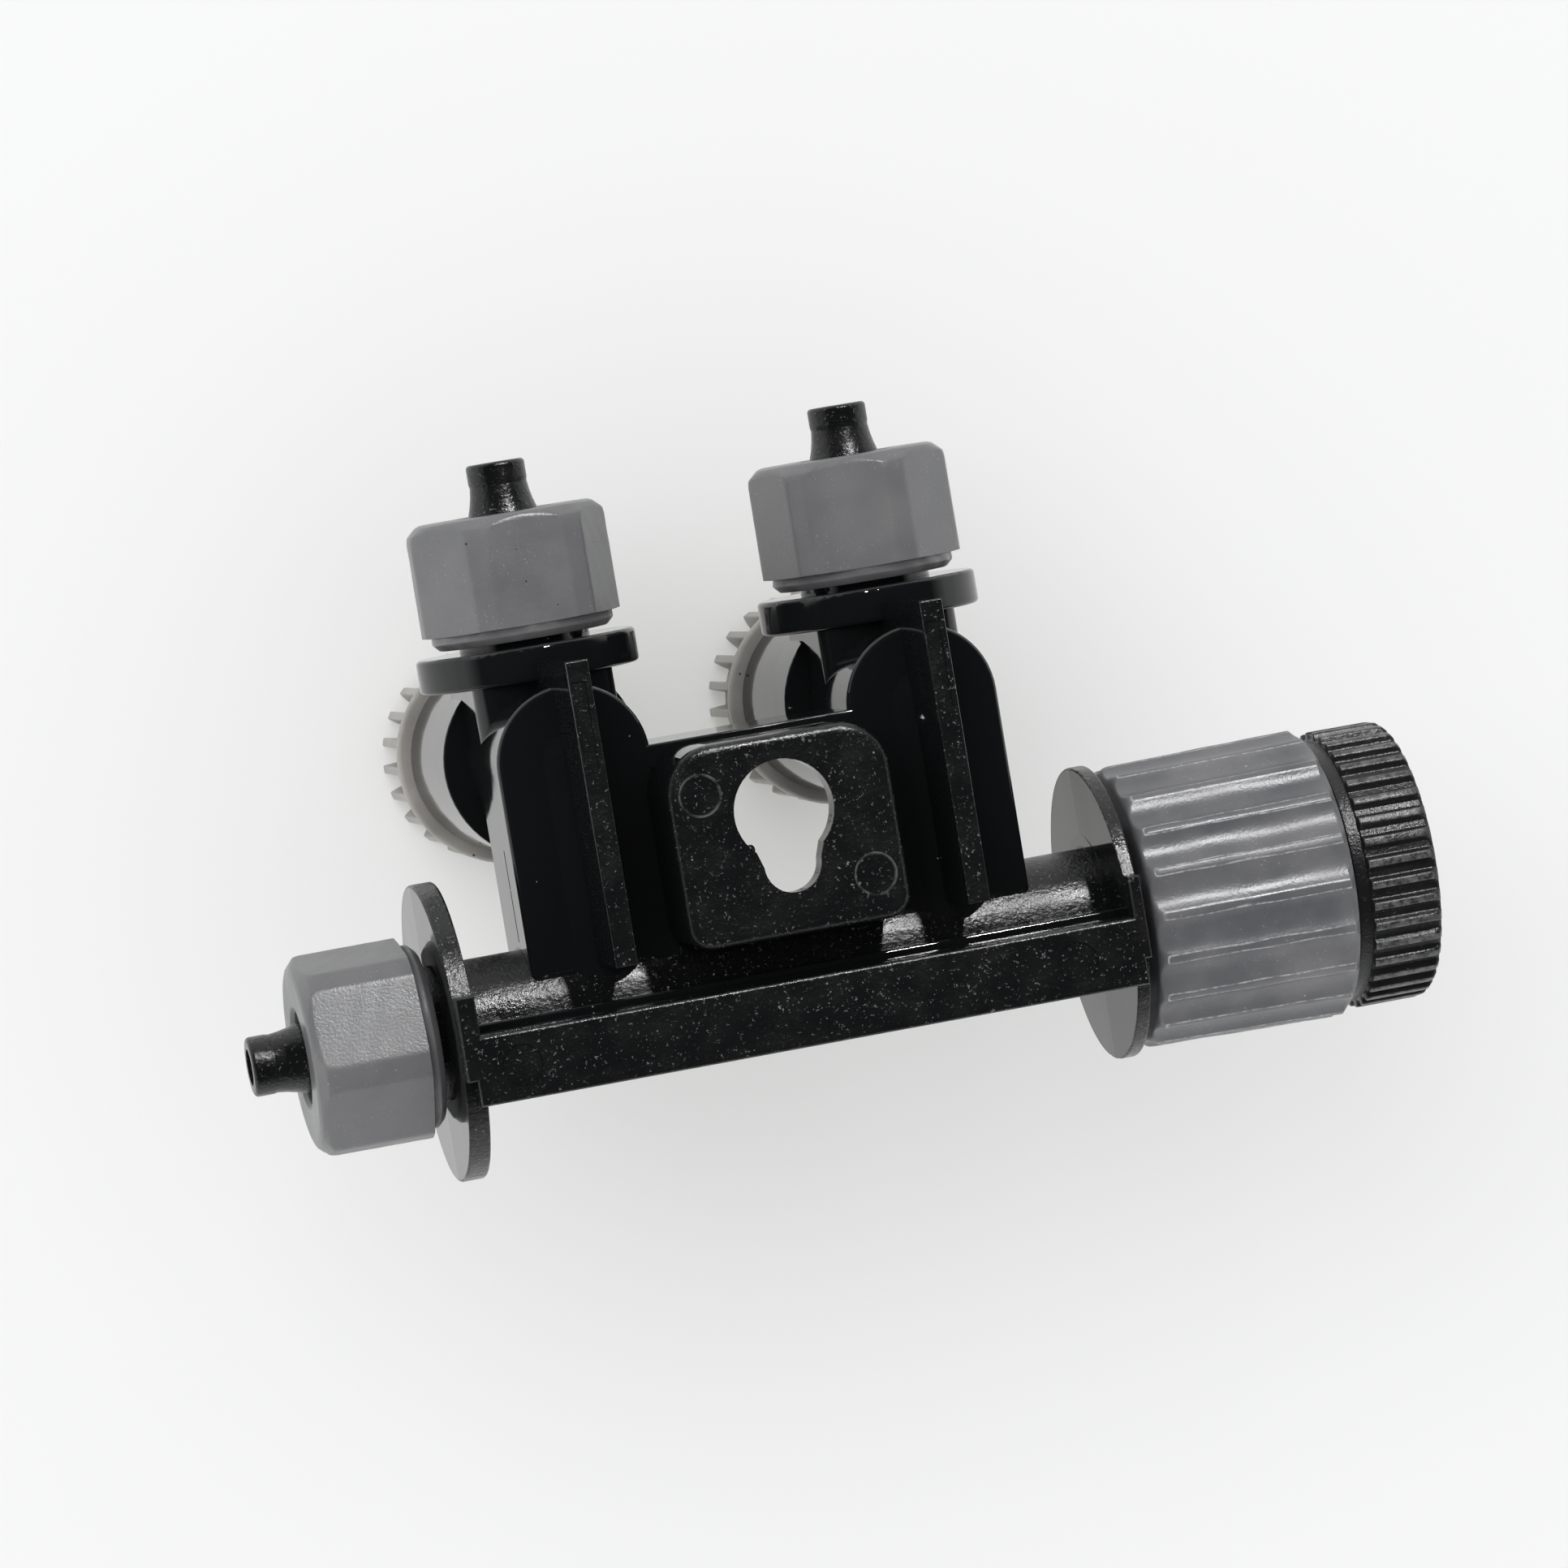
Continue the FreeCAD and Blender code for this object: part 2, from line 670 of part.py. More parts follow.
def snap_ring():
    inner = ring_groove_r + running_gap
    width = ring_groove_w - ring_side_gap * 2
    ring = turned([(inner, 0), (ring_outer_r, 0), (ring_outer_r, width), (inner, width)])
    half = math.radians(ring_opening_deg / 2)
    reach = ring_outer_r * 2
    mouth = slab([(0, 0), (reach * math.cos(half), -reach * math.sin(half)),
                  (reach * math.cos(half), reach * math.sin(half))], -past, width + past)
    return aimed(ring.cut(mouth), Vector(ring_groove_x + ring_side_gap, 0, 0), X)


def end_plug():
    # Knurled head, male thread and a pin with a seal groove that enters the tube's end bore.
    head_start = coupling_end_x + face_gap
    band_end = head_start + plug_band_w
    thread_r = coupling_thread_r - thread_gap
    thread_start = head_start - plug_thread_len
    seal_half = seal_groove_w / 2
    core_end = end_spigot_end_x + plug_core_len
    thread = thread_profile(thread_r, thread_start, plug_thread_len, thread_pitch, thread_depth)
    tail = corner(plug_crest_r, plug_end_x, plug_round, 1, 1)
    profile = [(0, plug_pin_start_x), (plug_pin_r - plug_pin_chamfer, plug_pin_start_x),
               (plug_pin_r, plug_pin_start_x + plug_pin_chamfer), (plug_pin_r, plug_seal_x - seal_half),
               (plug_groove_r, plug_seal_x - seal_half), (plug_groove_r, plug_seal_x + seal_half),
               (plug_pin_r, plug_seal_x + seal_half), (plug_pin_r, core_end)]
    profile += [(plug_inner_r, core_end), (plug_inner_r, thread_start)]
    profile += thread
    profile += [(plug_band_r, head_start), (plug_band_r, band_end), (plug_crest_r, band_end)]
    profile += tail
    recess_x = plug_end_x - plug_face_recess
    profile += [(plug_recess_r, plug_end_x), (plug_recess_r - plug_recess_draft, recess_x), (0, recess_x)]
    plug = turned(profile)
    gaps = []
    for index in range(plug_rib_count):
        gaps.append(slab(plug_gap_outline(index), band_end - sunk, plug_end_x + past))
    return aimed(plug.cut(Part.makeCompound(gaps)), Vector(0, 0, 0), X)


def plug_gap_outline(index):
    # Corners of the tapered gap between two ribs of the plug's head.
    middle = 2 * math.pi * (index + 0.5) / plug_rib_count
    gap_half = math.pi / plug_rib_count * (1 - plug_rib_share)
    root_half = gap_half * plug_gap_root_share
    crest_half = gap_half * plug_gap_crest_share
    outer_r = plug_crest_r + past
    polar = [(plug_root_r, middle - root_half), (outer_r, middle - crest_half),
             (outer_r, middle + crest_half), (plug_root_r, middle + root_half)]
    return [(radius * math.cos(angle), radius * math.sin(angle)) for radius, angle in polar]


def seal_ring(centre, direction, bore_r):
    # O-ring that fills its groove up to the bore it seals, less a small gap.
    outer = bore_r - seal_gap
    inner = bore_r - seal_depth + seal_gap
    cord_r = (outer - inner) / 2
    ring = Part.makeTorus(inner + cord_r, cord_r)
    return aimed(ring, centre, direction)


def needle():
    # Made along -Z from the seat: nose cone, slim neck, sealed piston, two guide wings.
    cone_gap = running_gap * math.sqrt(2)
    nose_z = seat_front_z + (orifice_r - cone_gap - needle_nose_r)
    shoulder_r = seat_r - cone_gap
    shoulder_z = seat_front_z - (shoulder_r - orifice_r + cone_gap)
    piston_r = chamber_r - running_gap
    groove_r = chamber_r - seal_depth
    groove_high = seal_groove_z + seal_groove_w / 2
    groove_low = seal_groove_z - seal_groove_w / 2
    profile = [(0, nose_z), (needle_nose_r, nose_z), (shoulder_r, shoulder_z),
               (needle_neck_r, seat_back_z - needle_neck_len),
               (needle_neck_r, piston_front_z + needle_cone_len),
               (piston_r, piston_front_z), (piston_r, groove_high), (groove_r, groove_high),
               (groove_r, groove_low), (piston_r, groove_low),
               (piston_r, needle_back_z), (0, needle_back_z)]
    body = turned(profile)
    wing_half = slot_half_w - running_gap
    wing_r = slot_r - face_gap
    wings = box(-wing_r, wing_r, -wing_half, wing_half, needle_back_z, needle_wing_z)
    bore = cylinder(screw_r + running_gap, Vector(0, 0, needle_back_z - past),
                    Vector(0, 0, needle_bore_end_z))
    return fused([body, wings]).cut(bore)


def drive_screw():
    flat_cut = box(screw_flat, screw_flat_reach, -screw_flat_reach, screw_flat_reach,
                   screw_end_z, knob_front_z - screw_flat_start)
    side = []
    pitch = valve_thread_pitch
    flank = pitch * thread_flank_share
    start = screw_tip_z - screw_tip_chamfer
    count = int((start - collar_front_z) / pitch)
    for index in range(count):
        root = start - pitch * (index + 0.5)
        side += [(screw_r, root + flank), (screw_r - screw_groove, root), (screw_r, root - flank)]
    profile = [(0, screw_tip_z), (screw_r - screw_tip_chamfer, screw_tip_z), (screw_r, start)] + side
    profile += [(screw_r, collar_front_z), (screw_collar_r, collar_front_z),
                (screw_collar_r, collar_back_z), (screw_journal_r, collar_back_z),
                (screw_journal_r, screw_end_z), (0, screw_end_z)]
    pilot = cylinder(fixing_shank_r, Vector(0, 0, screw_end_z - past),
                     Vector(0, 0, knob_web_back() + fixing_shank_len + fixing_hole_spare))
    return turned(profile).cut(flat_cut).cut(pilot)


def knob_web_back():
    # Face of the knob's inner web that the fixing screw's head bears on.
    return screw_end_z - running_gap - knob_web_t


def thrust_washer():
    inner = gland_bore_r + washer_gap
    low = gland_front_z + running_gap
    high = low + washer_t
    return turned([(inner, low), (washer_r, low), (washer_r, high), (inner, high)])


def gland():
    # Disc pressed into the barrel's open end, the bearing of the drive screw.
    return turned([(gland_bore_r, barrel_back_z), (socket_r - gland_chamfer, barrel_back_z),
                   (socket_r, barrel_back_z + gland_chamfer), (socket_r, gland_front_z),
                   (gland_bore_r, gland_front_z)])


def valve_knob():
    # Toothed knob with a smooth rim against the barrel, hollow between its hub and its grip.
    rim_back = knob_front_z - knob_rim_t
    rim = cylinder(knob_rim_r, Vector(0, 0, rim_back), Vector(0, 0, knob_front_z))
    rim = round_edges(rim, knob_rim_edge, lambda edge: len(edge.Vertexes) == 1)
    grip = cylinder(knob_root_r, Vector(0, 0, knob_back_z), Vector(0, 0, rim_back + sunk))
    envelope = turned([(0, knob_back_z), (knob_tip_r - knob_edge, knob_back_z),
                       (knob_tip_r + knob_envelope_spare, knob_back_z + knob_edge),
                       (knob_rim_r + past, knob_front_z + past), (0, knob_front_z + past)])
    solid = fused([rim, grip] + knob_tooth_ring(rim_back + sunk)).common(envelope)
    room_r = knob_root_r - knob_wall
    room_back = knob_back_z + knob_end_wall
    room = turned([(knob_hub_r, knob_front_z + past), (room_r, knob_front_z + past),
                   (room_r, room_back), (knob_hub_r, room_back)])
    shaft = cylinder(screw_journal_r + drive_gap, Vector(0, 0, screw_end_z - running_gap),
                     Vector(0, 0, knob_front_z + past))
    flat_keep = box(screw_flat + drive_gap, screw_flat_reach, -screw_flat_reach, screw_flat_reach,
                    screw_end_z - past, knob_front_z - screw_flat_start - drive_gap)
    recess = cylinder(knob_recess_r, Vector(0, 0, knob_back_z - past), Vector(0, 0, knob_web_back()))
    hole = cylinder(fixing_hole_r, Vector(0, 0, knob_back_z - past), Vector(0, 0, knob_front_z))
    return solid.cut(room).cut(shaft.cut(flat_keep)).cut(recess).cut(hole)


def knob_tooth_ring(front_z):
    # Straight-sided teeth with a rounded tip, all round the grip.
    half = knob_tooth_half
    root = knob_root_r - knob_tooth_sink
    shoulder = knob_tip_r - knob_tooth_round
    outline = [(root, -half * knob_tooth_root_share), (shoulder, -half), (knob_tip_r, 0, "arc"),
               (shoulder, half), (root, half * knob_tooth_root_share)]
    teeth = []
    for index in range(knob_teeth):
        tooth = slab(outline, knob_back_z, front_z)
        tooth.rotate(Vector(0, 0, 0), Z, 360.0 * index / knob_teeth)
        teeth.append(tooth)
    return teeth


def fixing_screw():
    seat = knob_web_back()
    head_back = seat - fixing_head_h
    head = turned([(0, head_back), (fixing_head_r - fixing_head_edge, head_back),
                   (fixing_head_r, head_back + fixing_head_edge), (fixing_head_r, seat), (0, seat)])
    shank = cylinder(fixing_shank_r, Vector(0, 0, seat - fixing_overlap),
                     Vector(0, 0, seat + fixing_shank_len))
    half = fixing_slot_w / 2
    reach = fixing_slot_reach
    low = head_back - past
    high = head_back + fixing_slot_depth
    cross = [box(-reach, reach, -half, half, low, high), box(-half, half, -reach, reach, low, high)]
    return fused([head, shank]).cut(fused(cross))


def all_pieces():
    pieces = {"manifold_body": manifold_body()}
    nut = hose_nut()
    pieces["inlet_hose_nut"] = aimed(nut, Vector(0, 0, 0), Vector(-1, 0, 0), inlet_nut_turn)
    for index, x in enumerate(valve_places):
        number = str(index + 1)
        turn = outlet_nut_turns[index]
        pieces["outlet_hose_nut_" + number] = aimed(nut, Vector(x, collar_top_y, outlet_z), Y, turn)
        on_axis = Vector(x, valve_y, 0)
        valve = {
            "valve_knob_": valve_knob(),
            "knob_fixing_screw_": fixing_screw(),
            "valve_drive_screw_": drive_screw(),
            "thrust_washer_": thrust_washer(),
            "valve_gland_": gland(),
            "valve_needle_": needle(),
            "needle_seal_": seal_ring(Vector(0, 0, seal_groove_z), Z, chamber_r),
        }
        for name, shape in valve.items():
            shape.translate(on_axis)
            pieces[name + number] = shape
    pieces["coupling_nut"] = coupling_nut()
    pieces["coupling_snap_ring"] = snap_ring()
    pieces["end_plug"] = end_plug()
    pieces["end_plug_seal"] = seal_ring(Vector(plug_seal_x, 0, 0), X, end_bore_r)
    return pieces


def floor_step():
    # From the working axes to the bottom centre of the whole object's box.
    x_mid = (plug_end_x - stem_len) / 2
    y_mid = (collar_top_y + stem_len - flange_r) / 2
    return Vector(-x_mid, -y_mid, -knob_back_z)


def main():
    os.makedirs("parts", exist_ok=True)
    step = floor_step()
    for name, shape in all_pieces().items():
        shape.translate(step)
        solid = shape.Solids[0] if len(shape.Solids) == 1 else shape
        solid.exportStep("parts/" + name + ".step")
        print(name, "solids", len(shape.Solids), "valid", shape.isValid(),
              "volume", round(shape.Volume, 1))


main()
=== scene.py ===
import json
import math

import bmesh
import bpy
import numpy as np
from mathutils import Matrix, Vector


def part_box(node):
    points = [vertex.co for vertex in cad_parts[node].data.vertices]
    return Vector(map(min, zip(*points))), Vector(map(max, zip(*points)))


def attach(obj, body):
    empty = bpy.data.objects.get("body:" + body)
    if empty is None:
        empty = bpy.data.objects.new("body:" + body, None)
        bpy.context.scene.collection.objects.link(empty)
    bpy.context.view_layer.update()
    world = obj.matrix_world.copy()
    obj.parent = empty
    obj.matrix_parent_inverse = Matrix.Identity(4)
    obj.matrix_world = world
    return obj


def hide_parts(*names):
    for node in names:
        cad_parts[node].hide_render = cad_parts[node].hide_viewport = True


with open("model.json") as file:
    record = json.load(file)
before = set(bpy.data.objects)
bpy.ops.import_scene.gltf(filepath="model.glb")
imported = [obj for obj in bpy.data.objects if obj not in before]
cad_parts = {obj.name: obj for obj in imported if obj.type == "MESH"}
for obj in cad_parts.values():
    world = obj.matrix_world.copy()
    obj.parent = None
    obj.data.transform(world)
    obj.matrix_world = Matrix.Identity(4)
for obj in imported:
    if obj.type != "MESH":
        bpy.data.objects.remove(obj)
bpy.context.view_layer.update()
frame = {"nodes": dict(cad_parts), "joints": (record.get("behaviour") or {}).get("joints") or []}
nodes = frame["nodes"]
mm = 0.001   # sizes of pieces are in mm and turns in degrees; depths in the finishes are in metres
mergeDistance = 1e-7
flatWeight = 60

# A point on each joint's axis, in mm: the new pieces are built on these axes
jointPlace = {joint["name"]: np.array(joint["pos_m"]) / mm for joint in frame["joints"] if "pos_m" in joint}
betweenValves = (jointPlace["knob_turn_1"] + jointPlace["knob_turn_2"]) / 2


def nodeBox(name):
    # lowest and highest corner of a frame node, in mm
    low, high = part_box(name)
    return np.array(low) / mm, np.array(high) / mm


# Meshes from grids

def sweepGrid(radius, height, angles, origin, along, side):
    # point = origin + along * height + radius * (side * cos(angle) + (along x side) * sin(angle)),
    # for a whole grid of radii (rows follow the profile, columns go round the axis)
    along = np.array(along, float)
    side = np.array(side, float)
    across = np.cross(along, side)
    ring = np.cos(angles)[None, :, None] * side + np.sin(angles)[None, :, None] * across
    return np.array(origin, float) + along * height[:, None, None] + radius[:, :, None] * ring


def gridPiece(name, grid, body, node, closeRows):
    # columns always close on themselves; rows close when the profile is a ring
    rows, cols = grid.shape[:2]
    r = np.arange(rows if closeRows else rows - 1)[:, None]
    c = np.arange(cols)[None, :]
    nextR = (r + 1) % rows
    nextC = (c + 1) % cols
    quads = np.stack([r * cols + c, r * cols + nextC, nextR * cols + nextC, nextR * cols + c], axis=-1)
    mesh = bpy.data.meshes.new(name)
    mesh.from_pydata((grid.reshape(-1, 3) * mm).tolist(), [], quads.reshape(-1, 4).tolist())
    work = bmesh.new()
    work.from_mesh(mesh)
    bmesh.ops.remove_doubles(work, verts=work.verts, dist=mergeDistance)
    bmesh.ops.recalc_face_normals(work, faces=work.faces)
    work.to_mesh(mesh)
    work.free()
    mesh.shade_smooth()
    print(name, "triangles", 2 * len(mesh.polygons))
    piece = bpy.data.objects.new(name, mesh)
    bpy.context.scene.collection.objects.link(piece)
    weighted = piece.modifiers.new("flatFacesStayFlat", "WEIGHTED_NORMAL")
    weighted.weight = flatWeight
    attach(piece, body)
    if node:
        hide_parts(node)
    return piece


def roundedPath(corners, steps=6):
    # corners are (radius, height, rounding); each rounding is a circular arc tangent to both runs
    pts = np.array([[c[0], c[1]] for c in corners], float)
    size = np.array([c[2] if len(c) > 2 else 0.0 for c in corners])
    out = []
    count = len(pts)
    for i in range(count):
        before, here, after = pts[i - 1], pts[i], pts[(i + 1) % count]
        if size[i] <= 0:
            out.append(here[None, :])
            continue
        a = (before - here) / np.linalg.norm(before - here)
        b = (after - here) / np.linalg.norm(after - here)
        half = math.acos(np.clip(a @ b, -1, 1)) / 2
        reach = size[i] / math.tan(half)
        centre = here + (a + b) / np.linalg.norm(a + b) * size[i] / math.sin(half)
        start, end = here + a * reach - centre, here + b * reach - centre
        turn = math.atan2(start[0] * end[1] - start[1] * end[0], start @ end)
        t = np.linspace(0, turn, steps + 1)
        cosine, sine = np.cos(t), np.sin(t)
        arc = np.stack([start[0] * cosine - start[1] * sine, start[0] * sine + start[1] * cosine], 1)
        out.append(centre + arc)
    return np.concatenate(out)


def divided(path, longest, fine=None):
    # splits every run longer than the given length into equal steps;
    # fine is (from height, to height, step) and gives one stretch its own, shorter step
    parts = []
    for a, b in zip(path, np.roll(path, -1, axis=0)):
        middle = (a[1] + b[1]) / 2
        step = fine[2] if fine and fine[0] < middle < fine[1] else longest
        n = max(1, int(np.ceil(np.linalg.norm(b - a) / step)))
        parts.append(a + (b - a) * (np.arange(n) / n)[:, None])
    return np.concatenate(parts)


def flatRidge(arc, half, slope):
    # 1 on the flat top of a ridge and 0 in the gap, by the distance from the ridge's middle:
    # step = (half + slope - distance) / slope held to 0..1, value = step * step * (3 - 2 * step)
    step = np.clip((half + slope - arc) / slope, 0, 1)
    return step * step * (3 - 2 * step)


def softMin(a, b, k):
    # smaller of two values with a rounded change-over of width k
    return -k * np.logaddexp(-a / k, -b / k)


def waviness(angles, heights, seed, size, terms=9):
    # slow uneven relief: a sum of sines round and along the piece with seeded phases
    rng = np.random.default_rng(seed)
    total = np.zeros((len(heights), len(angles)))
    for k in range(terms):
        turns = rng.integers(2, 26)
        total += rng.normal() * np.cos(turns * angles[None, :] + rng.uniform(0, 6.3)
                                       + heights[:, None] * rng.uniform(0.5, 4.0)) / terms ** 0.5
    return total * size


# Materials

def newMaterial(name, settings):
    material = bpy.data.materials.new(name)
    material.use_nodes = True
    tree = material.node_tree
    shader = tree.nodes["Principled BSDF"]
    for key, value in settings.items():
        shader.inputs[key].default_value = value
    return material, tree, shader


def addNode(tree, kind, values=None, **settings):
    node = tree.nodes.new(kind)
    for key, value in settings.items():
        setattr(node, key, value)
    for key, value in (values or {}).items():
        node.inputs[key].default_value = value
    return node


def mathNode(tree, operation, a, b=None, clamp=False):
    node = addNode(tree, "ShaderNodeMath", operation=operation, use_clamp=clamp)
    for slot, value in enumerate((a, b)):
        if value is None:
            continue
        if isinstance(value, (int, float)):
            node.inputs[slot].default_value = value
        else:
            tree.links.new(value, node.inputs[slot])
    return node.outputs[0]


def noiseOf(tree, place, scale, detail=2.0, roughness=0.5):
    node = addNode(tree, "ShaderNodeTexNoise", {"Scale": scale, "Detail": detail, "Roughness": roughness})
    tree.links.new(place, node.inputs["Vector"])
    return node.outputs["Fac"]


def rampOf(tree, value, low, high, fromValue, toValue):
    node = addNode(tree, "ShaderNodeMapRange",
                   {"From Min": low, "From Max": high, "To Min": fromValue, "To Max": toValue})
    tree.links.new(value, node.inputs["Value"])
    return node.outputs["Result"]


def mixColour(tree, factor, a, b):
    node = addNode(tree, "ShaderNodeMix", data_type="RGBA")
    tree.links.new(factor, node.inputs["Factor"])
    for slot, value in ((6, a), (7, b)):
        if isinstance(value, tuple):
            node.inputs[slot].default_value = value
        else:
            tree.links.new(value, node.inputs[slot])
    return node.outputs[2]


def fromAxis(tree, first, second, place):
    # distance from a straight axis, given two coordinates and where the axis crosses them, in mm
    a = mathNode(tree, "SUBTRACT", first, float(place[0]) * mm)
    b = mathNode(tree, "SUBTRACT", second, float(place[1]) * mm)
    square = mathNode(tree, "ADD", mathNode(tree, "MULTIPLY", a, a), mathNode(tree, "MULTIPLY", b, b))
    return mathNode(tree, "SQRT", square)


def bumpOf(tree, height, distance, strength=1.0, before=None):
    node = addNode(tree, "ShaderNodeBump", {"Distance": distance, "Strength": strength})
    tree.links.new(height, node.inputs["Height"])
    if before is not None:
        tree.links.new(before, node.inputs["Normal"])
    return node.outputs["Normal"]


rareCells = 0.62   # a cell keeps its speck when its random value is above this


def dustOf(tree, place, cells, size):
    # sparse round specks: near a cell centre, and only in the few cells whose own random value is high
    node = addNode(tree, "ShaderNodeTexVoronoi", {"Scale": cells, "Randomness": 1.0})
    tree.links.new(place, node.inputs["Vector"])
    near = mathNode(tree, "LESS_THAN", node.outputs["Distance"], size)
    split = addNode(tree, "ShaderNodeSeparateColor")
    tree.links.new(node.outputs["Color"], split.inputs["Color"])
    rare = mathNode(tree, "GREATER_THAN", split.outputs[0], rareCells)
    return mathNode(tree, "MULTIPLY", near, rare)


bodyLook = {
    "colour": (0.0068, 0.0074, 0.0079, 1),
    "grainColour": (0.0050, 0.0054, 0.0058, 1),
    "dustColour": (0.22, 0.22, 0.21, 1),
    "glossRoughness": 0.055,
    "grainRoughness": 0.27,
    "grainScale": 3700.0,
    "grainDepth": 0.000045,
    "glintColour": (0.17, 0.172, 0.175, 1),
    "glintFrom": 0.63, "glintSpan": 0.07, "clusterScale": 330.0,
    "pitScale": 0.36, "pitShare": 0.9,
    "sagScale": 130.0, "sagDepth": 0.00012, "sagStrength": 0.35, "patchScale": 420.0,
    "dustCells": 620.0, "dustSize": 0.045,
    # where the grain lies, in mm: skin on the wall side, rims of the two discs, tube, stems
    "wallSkin": 0.6, "rimRadius": 10.82, "tubeRadius": 5.15,
    "inletGap": 0.45, "inletDisc": 1.8, "endGap": 0.9, "endDisc": 1.3,
    "ejectorMarks": ((-5.9, 3.55), (5.9, 11.3)), "markRadius": 1.5, "markEdge": (0.04, 0.12),
    "markBreaks": 900.0, "paintedMarkHighlight": (0.10, 0.10, 0.10, 1),
}


def bodyMaterial():
    # polished black, with a spark-eroded grain on the wall side, the flange rims, the tube and the stems
    look = bodyLook
    material, tree, shader = newMaterial("polishedBlackBody", {"IOR": 1.5, "Specular IOR Level": 0.5})
    where = addNode(tree, "ShaderNodeTexCoord")
    place = where.outputs["Object"]
    split = addNode(tree, "ShaderNodeSeparateXYZ")
    tree.links.new(place, split.inputs[0])
    x, y, z = split.outputs
    tube = jointPlace["coupling_turn"]
    radius = fromAxis(tree, y, z, tube[1:])
    bodyHigh = nodeBox("manifold_body")[1]
    inletFace = nodeBox("inlet_hose_nut")[1][0] + look["inletGap"]
    endFace = nodeBox("coupling_nut")[0][0] - look["endGap"]
    nutLow = nodeBox("outlet_hose_nut_1")[1][1]
    onWall = rampOf(tree, z, (bodyHigh[2] - look["wallSkin"]) * mm,
                    (bodyHigh[2] - look["wallSkin"] * 0.5) * mm, 0, 1)
    onRim = mathNode(tree, "GREATER_THAN", radius, look["rimRadius"] * mm)
    atInlet = mathNode(tree, "LESS_THAN", x, float(inletFace + look["inletDisc"]) * mm)
    atEnd = mathNode(tree, "GREATER_THAN", x, float(endFace - look["endDisc"]) * mm)
    atDisc = mathNode(tree, "ADD", atInlet, atEnd)
    rimHere = mathNode(tree, "MULTIPLY", onRim, atDisc)
    onTube = mathNode(tree, "LESS_THAN", radius, look["tubeRadius"] * mm)
    onStem = mathNode(tree, "GREATER_THAN", y, float(nutLow) * mm)
    grainHere = mathNode(tree, "ADD", onWall, rimHere, clamp=True)
    grainHere = mathNode(tree, "ADD", grainHere, onTube, clamp=True)
    grainHere = mathNode(tree, "ADD", grainHere, onStem, clamp=True)
    grain = noiseOf(tree, place, look["grainScale"], 3.0, 0.62)
    pits = noiseOf(tree, place, look["grainScale"] * look["pitScale"], 1.0, 0.5)
    coarse = mathNode(tree, "ADD", grain, mathNode(tree, "MULTIPLY", pits, look["pitShare"]))
    height = mathNode(tree, "MULTIPLY", coarse, grainHere)
    sag = noiseOf(tree, place, look["sagScale"], 2.0, 0.45)
    grained = bumpOf(tree, height, look["grainDepth"])
    settled = bumpOf(tree, sag, look["sagDepth"], look["sagStrength"], grained)
    tree.links.new(settled, shader.inputs["Normal"])
    patches = noiseOf(tree, place, look["patchScale"], 2.0, 0.5)
    wearAndPaintedHighlight = rampOf(tree, patches, 0.35, 0.7, look["grainRoughness"] - 0.07, look["grainRoughness"] + 0.08)
    smooth = rampOf(tree, patches, 0.3, 0.75, look["glossRoughness"] * 0.7, look["glossRoughness"] * 1.6)
    blend = addNode(tree, "ShaderNodeMix", data_type="FLOAT")
    tree.links.new(grainHere, blend.inputs[0])
    tree.links.new(smooth, blend.inputs[2])
    tree.links.new(wearAndPaintedHighlight, blend.inputs[3])
    tree.links.new(blend.outputs[0], shader.inputs["Roughness"])
    base = mixColour(tree, grainHere, look["colour"], look["grainColour"])
    # painted glints: light specks mixed into the base colour where the grain lies, standing in for the grain
    # catching the key light
    cluster = rampOf(tree, noiseOf(tree, place, look["clusterScale"], 2.0, 0.6), 0.35, 0.65, 0.2, 1.0)
    spark = noiseOf(tree, place, look["grainScale"], 2.0, 0.7)
    glint = rampOf(tree, spark, look["glintFrom"], look["glintFrom"] + look["glintSpan"], 0, 1)
    glint = mathNode(tree, "MULTIPLY", mathNode(tree, "MULTIPLY", glint, grainHere), cluster)
    base = mixColour(tree, glint, base, look["glintColour"])
    # painted highlight: a lighter broken ring at the edge of each ejector mark on the wall side, standing in
    # for the edge catching the key light
    edgeFrom, edgeTo = look["markEdge"]
    for sideways, down in look["ejectorMarks"]:
        away = fromAxis(tree, x, y, (betweenValves[0] + sideways, betweenValves[1] - down))
        offRing = mathNode(tree, "ABSOLUTE", mathNode(tree, "SUBTRACT", away, look["markRadius"] * mm))
        ring = mathNode(tree, "MULTIPLY", rampOf(tree, offRing, edgeFrom * mm, edgeTo * mm, 1, 0), onWall)
        broken = rampOf(tree, noiseOf(tree, place, look["markBreaks"], 2.0, 0.6), 0.4, 0.6, 0.1, 1)
        base = mixColour(tree, mathNode(tree, "MULTIPLY", ring, broken), base, look["paintedMarkHighlight"])
    dust = dustOf(tree, place, look["dustCells"], look["dustSize"])
    tree.links.new(mixColour(tree, dust, base, look["dustColour"]), shader.inputs["Base Color"])
    return material


plasticDefaults = {
    "through": 0.0, "driftScale": 260.0,
    "pitCells": 520.0, "pitSize": 0.05, "pitColour": (0.03, 0.03, 0.03, 1),
    "sparkScale": 1.1, "sparkFrom": 0.66, "sparkTo": 0.74, "clusterScale": 300.0, "paintedHighlightBreaks": 1700.0,
    "slowScale": 170.0, "slowDepth": 0.00012, "slowStrength": 0.4,
}


